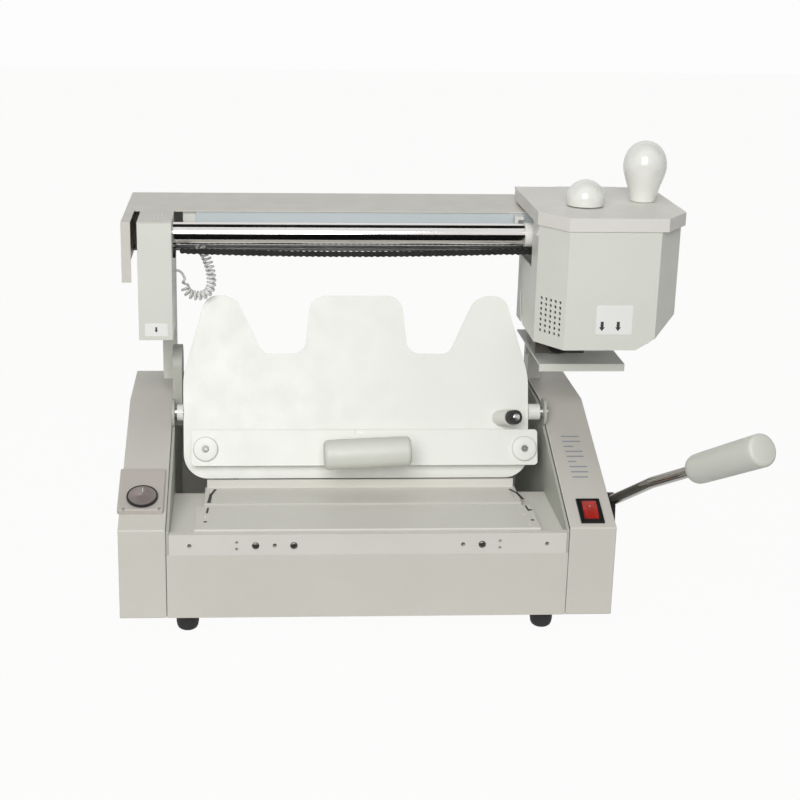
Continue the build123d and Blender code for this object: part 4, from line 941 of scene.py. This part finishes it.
def mainsRocker():
    r = rockerSize
    halfLength, halfWidth = r["length"] / 2 - 1.7, r["width"] / 2 - 0.3
    top = []
    for k in range(13):
        t = -1 + 2 * k / 12
        dish = r["low"] + (r["high"] - r["low"]) * (t + 1) / 2 + r["hollow"] * (1 - t * t)
        top.append((t * halfLength, dish))
    outline = [(-halfLength, -7.0)] + top + [(halfLength, -7.0)]
    origin = onSlope(r["x"] - halfWidth, r["y"])
    bm = extruded(outline, origin, slopeUp, slopeNormal, right, 2 * halfWidth)
    soften(bm, 0.45, 2)
    weigh(piece("rocker-red", toMesh(bm, "rocker-red"), rockerRed, "rocker", "rocker"))
    ring = []
    width, length, height = r["bezel"]
    for x, y, size in ((0, length / 2 - 2.4, (width, 4.8)), (0, 2.4 - length / 2, (width, 4.8)),
                       (width / 2 - 2.1, 0, (4.2, length)), (2.1 - width / 2, 0, (4.2, length))):
        ring.append(slabMesh(onSlope(r["x"], r["y"]) + right * x * mm + slopeUp * y * mm, right, slopeUp,
                             slopeNormal, (*size, height), 0.5, 2))
    weigh(piece("rocker-frame", toMesh(merged(ring), "rocker-frame"), blackPlastic, "base"))
    nodes["rocker_bezel"].data.materials.clear()
    nodes["rocker_bezel"].data.materials.append(blackPlastic)
    dash = slabMesh(onSlope(r["x"], r["y"] + 6.0, 3.5), right, slopeUp, slopeNormal, (0.9, 4.4, 0.25), 0.1, 1)
    weigh(piece("rocker-on-mark", toMesh(dash, "rocker-on-mark"), paperLabel, "rocker"))


tempDial()
mainsRocker()
print("controls are fitted")


# Stickers and printed rules
def sticker(name, centre, x, y, size, body, thick=0.15):
    z = x.cross(y)
    corners = [(-size[0] / 2, -size[1] / 2), (size[0] / 2, -size[1] / 2), (size[0] / 2, size[1] / 2),
               (-size[0] / 2, size[1] / 2)]
    bm = extruded(rounded(corners, [1.2] * 4), centre, x, y, z, thick)
    return piece(name, toMesh(bm, name), paperLabel, body)


slopeRules = {
    "left": 220.4, "drift": 0.2, "first": 139.8, "step": 8.04, "thick": 2.2,
    "widths": (19.5, 19.5, 10.5, 19.0, 18.5, 8.5, 19.0, 18.5, 16.5),
}


def printedRules():
    parts = []
    s = slopeRules
    for k, width in enumerate(s["widths"]):
        origin = onSlope(s["left"] + s["drift"] * k + width / 2, s["first"] - s["step"] * k)
        parts.append(slabMesh(origin, right, slopeUp, slopeNormal, (width, s["thick"], 0.08), 0.02, 1))
    piece("slope-rules", toMesh(merged(parts), "slope-rules"), inkGrey, "base")


def arrowDown(centre, x, y, z, size):
    shaft = size * 0.16
    outline = [(0, -size / 2), (size * 0.3, -size * 0.1), (shaft, -size * 0.1), (shaft, size / 2),
               (-shaft, size / 2), (-shaft, -size * 0.1), (-size * 0.3, -size * 0.1)]
    return extruded(outline, centre, x, y, z, 0.08)


def stickers():
    sticker("pot-sticker", at(258, 86, 318), right, up, (38, 31), "pot")  # on the front wall of the pot
    arrows = [arrowDown(at(254 + dx, 85.83, 311), right, up, -back, 10.0) for dx in (-8.5, 8.5)]
    piece("pot-sticker-arrows", toMesh(merged(arrows), "pot-sticker-arrows"), inkBlack, "pot")
    sticker("column-sticker", at(-220.5, 141, 292.5), right, up, (24, 14), "base")
    arrow = arrowDown(at(-220.5, 140.83, 292.5), right, up, -back, 6.0)
    piece("column-sticker-arrow", toMesh(arrow, "column-sticker-arrow"), inkBlack, "base")


# Thin black strips laid in the platform where its slots open: painted shade standing in for the dark inside the
# slots, which are not cut. The dots are black discs at nip-plate height.
platformSlotShade = {
    "slots": (((-159.0, 125.0), (-163.5, 108.0), (-165.5, 86.0)),
              ((163.5, 122.0), (169.5, 110.0), (173.0, 92.0))),
    "short": (((-165.5, 70.0), (-166.3, 56.0)), ((172.5, 72.0), (173.5, 58.0))),
    "dots": ((-167.3, 31.0), (173.0, 31.0), (175.6, 60.0)), "dot": 2.0,
    "width": 3.0, "shortWidth": 2.2, "jaw": 117.0, "nip": 116.8,
}


def platformDetails():
    m = platformSlotShade
    strokes = [(line, m["jaw"], m["width"]) for line in m["slots"]]
    strokes += [(line, m["nip"], m["shortWidth"]) for line in m["short"]]
    parts = []
    for line, height, width in strokes:
        for (x0, y0), (x1, y1) in zip(line, line[1:]):
            a, b = at(x0, y0, height), at(x1, y1, height)
            along = (b - a).normalized()
            parts.append(slabMesh((a + b) / 2 - up * 0.15 * mm, along, up.cross(along), up,
                                  ((b - a).length / mm + width * 0.6, width, 0.25), 0.08, 1))
    for x, y in m["dots"]:
        r = m["dot"]
        parts.append(lathe([(0.0, -0.1), (r, -0.1), (r, 0.1), (0.0, 0.1)], at(x, y, m["nip"]), up, 20))
    piece("platform-slot-shade", toMesh(merged(parts), "platform-slot-shade"), blackPaint, "base")


printedRules()
stickers()
platformDetails()
print("stickers are on")


# Floor, light and backdrop
lighting = {
    "fill": 0.22, "paper": 0.978, "floorGlow": 0.955, "target": (0, 150, 220),
    "lamps": (("keyLight", (-520, -2400, 1550), 1.6, 61.0), ("topLight", (0, 300, 1900), 1.2, 4.0)),
    "cards": (("lowCard", (0, -1020, 8), (5000, 1860, 0)), ("farCard", (0, -1950, 345), (5000, 0, 690)),
              ("highCard", (0, 334, 1500), (5000, 900, 0))),
}


def seenRays(tree, path):
    total = path.outputs["Is Camera Ray"]
    for kind in ("Is Glossy Ray", "Is Transmission Ray"):
        add = tree.nodes.new("ShaderNodeMath")
        add.operation = "MAXIMUM"
        tree.links.new(total, add.inputs[0])
        tree.links.new(path.outputs[kind], add.inputs[1])
        total = add.outputs["Value"]
    return total


def studio():
    scene = bpy.context.scene
    scene.view_settings.view_transform = "Standard"
    world = bpy.data.worlds.new("studio")
    scene.world = world
    world.use_nodes = True
    tree = world.node_tree
    lamp = tree.nodes["Background"]
    lamp.inputs["Color"].default_value = (1, 1, 1, 1)
    lamp.inputs["Strength"].default_value = lighting["fill"]
    paper = tree.nodes.new("ShaderNodeBackground")
    paper.inputs["Color"].default_value = (1, 1, 1, 1)
    paper.inputs["Strength"].default_value = lighting["paper"]
    path = tree.nodes.new("ShaderNodeLightPath")
    mix = tree.nodes.new("ShaderNodeMixShader")
    tree.links.new(seenRays(tree, path), mix.inputs["Fac"])
    tree.links.new(lamp.outputs["Background"], mix.inputs[1])
    tree.links.new(paper.outputs["Background"], mix.inputs[2])
    tree.links.new(mix.outputs["Shader"], tree.nodes["World Output"].inputs["Surface"])

    bm = bmesh.new()
    bmesh.ops.create_grid(bm, x_segments=2, y_segments=2, size=6.0)
    mesh = bpy.data.meshes.new("floor")
    bm.to_mesh(mesh)
    bm.free()
    floor = bpy.data.objects.new("floor", mesh)
    scene.collection.objects.link(floor)
    white = bpy.data.materials.new("floorPaper")
    white.use_nodes = True
    tree = white.node_tree
    shader = tree.nodes["Principled BSDF"]
    shader.inputs["Base Color"].default_value = (0.5, 0.5, 0.5, 1)
    shader.inputs["Roughness"].default_value = 0.9
    shader.inputs["Specular IOR Level"].default_value = 0.1
    glow = tree.nodes.new("ShaderNodeEmission")
    glow.inputs["Color"].default_value = (1, 1, 0.995, 1)
    path = tree.nodes.new("ShaderNodeLightPath")
    share = tree.nodes.new("ShaderNodeMath")
    share.operation = "MULTIPLY"
    share.inputs[1].default_value = lighting["floorGlow"]
    tree.links.new(seenRays(tree, path), share.inputs[0])
    mix = tree.nodes.new("ShaderNodeMixShader")
    tree.links.new(share.outputs["Value"], mix.inputs["Fac"])
    tree.links.new(shader.outputs["BSDF"], mix.inputs[1])
    tree.links.new(glow.outputs["Emission"], mix.inputs[2])
    tree.links.new(mix.outputs["Shader"], tree.nodes["Material Output"].inputs["Surface"])
    mesh.materials.append(white)

    for name, place, size, power in lighting["lamps"]:
        data = bpy.data.lights.new(name, "AREA")
        data.size = size
        data.energy = power
        lampObj = bpy.data.objects.new(name, data)
        scene.collection.objects.link(lampObj)
        lampObj.location = at(*place)
        lampObj.rotation_euler = (at(*place) - at(*lighting["target"])).to_track_quat("Z", "Y").to_euler()


# black sheets seen only by glossy rays, standing in for the dark room: a painted reflection for the chrome
def cardBlack():
    black = bpy.data.materials.new("cardBlack")
    black.use_nodes = True
    shader = black.node_tree.nodes["Principled BSDF"]
    shader.inputs["Base Color"].default_value = (0.008, 0.008, 0.008, 1)
    shader.inputs["Roughness"].default_value = 1.0
    shader.inputs["Specular IOR Level"].default_value = 0.0
    return black


def darkCard(name, place, size, finish):
    bm = bmesh.new()
    bmesh.ops.create_grid(bm, x_segments=1, y_segments=1, size=0.5)
    for v in bm.verts:
        v.co = at(*place) + right * v.co.x * size[0] * mm + Vector((0, v.co.y * size[1], v.co.y * size[2])) * mm
    mesh = bpy.data.meshes.new(name)
    bm.to_mesh(mesh)
    bm.free()
    mesh.materials.append(finish)
    card = bpy.data.objects.new(name, mesh)
    bpy.context.scene.collection.objects.link(card)
    card.visible_camera = False
    card.visible_diffuse = False
    card.visible_shadow = False


studio()
cardPaint = cardBlack()
# dark sheets seen only in reflections: they paint the dark reflected bands on the rail
for cardName, cardPlace, cardSize in lighting["cards"]:
    darkCard(cardName, cardPlace, cardSize, cardPaint)  # the rail's dark bands
print("studio is lit")
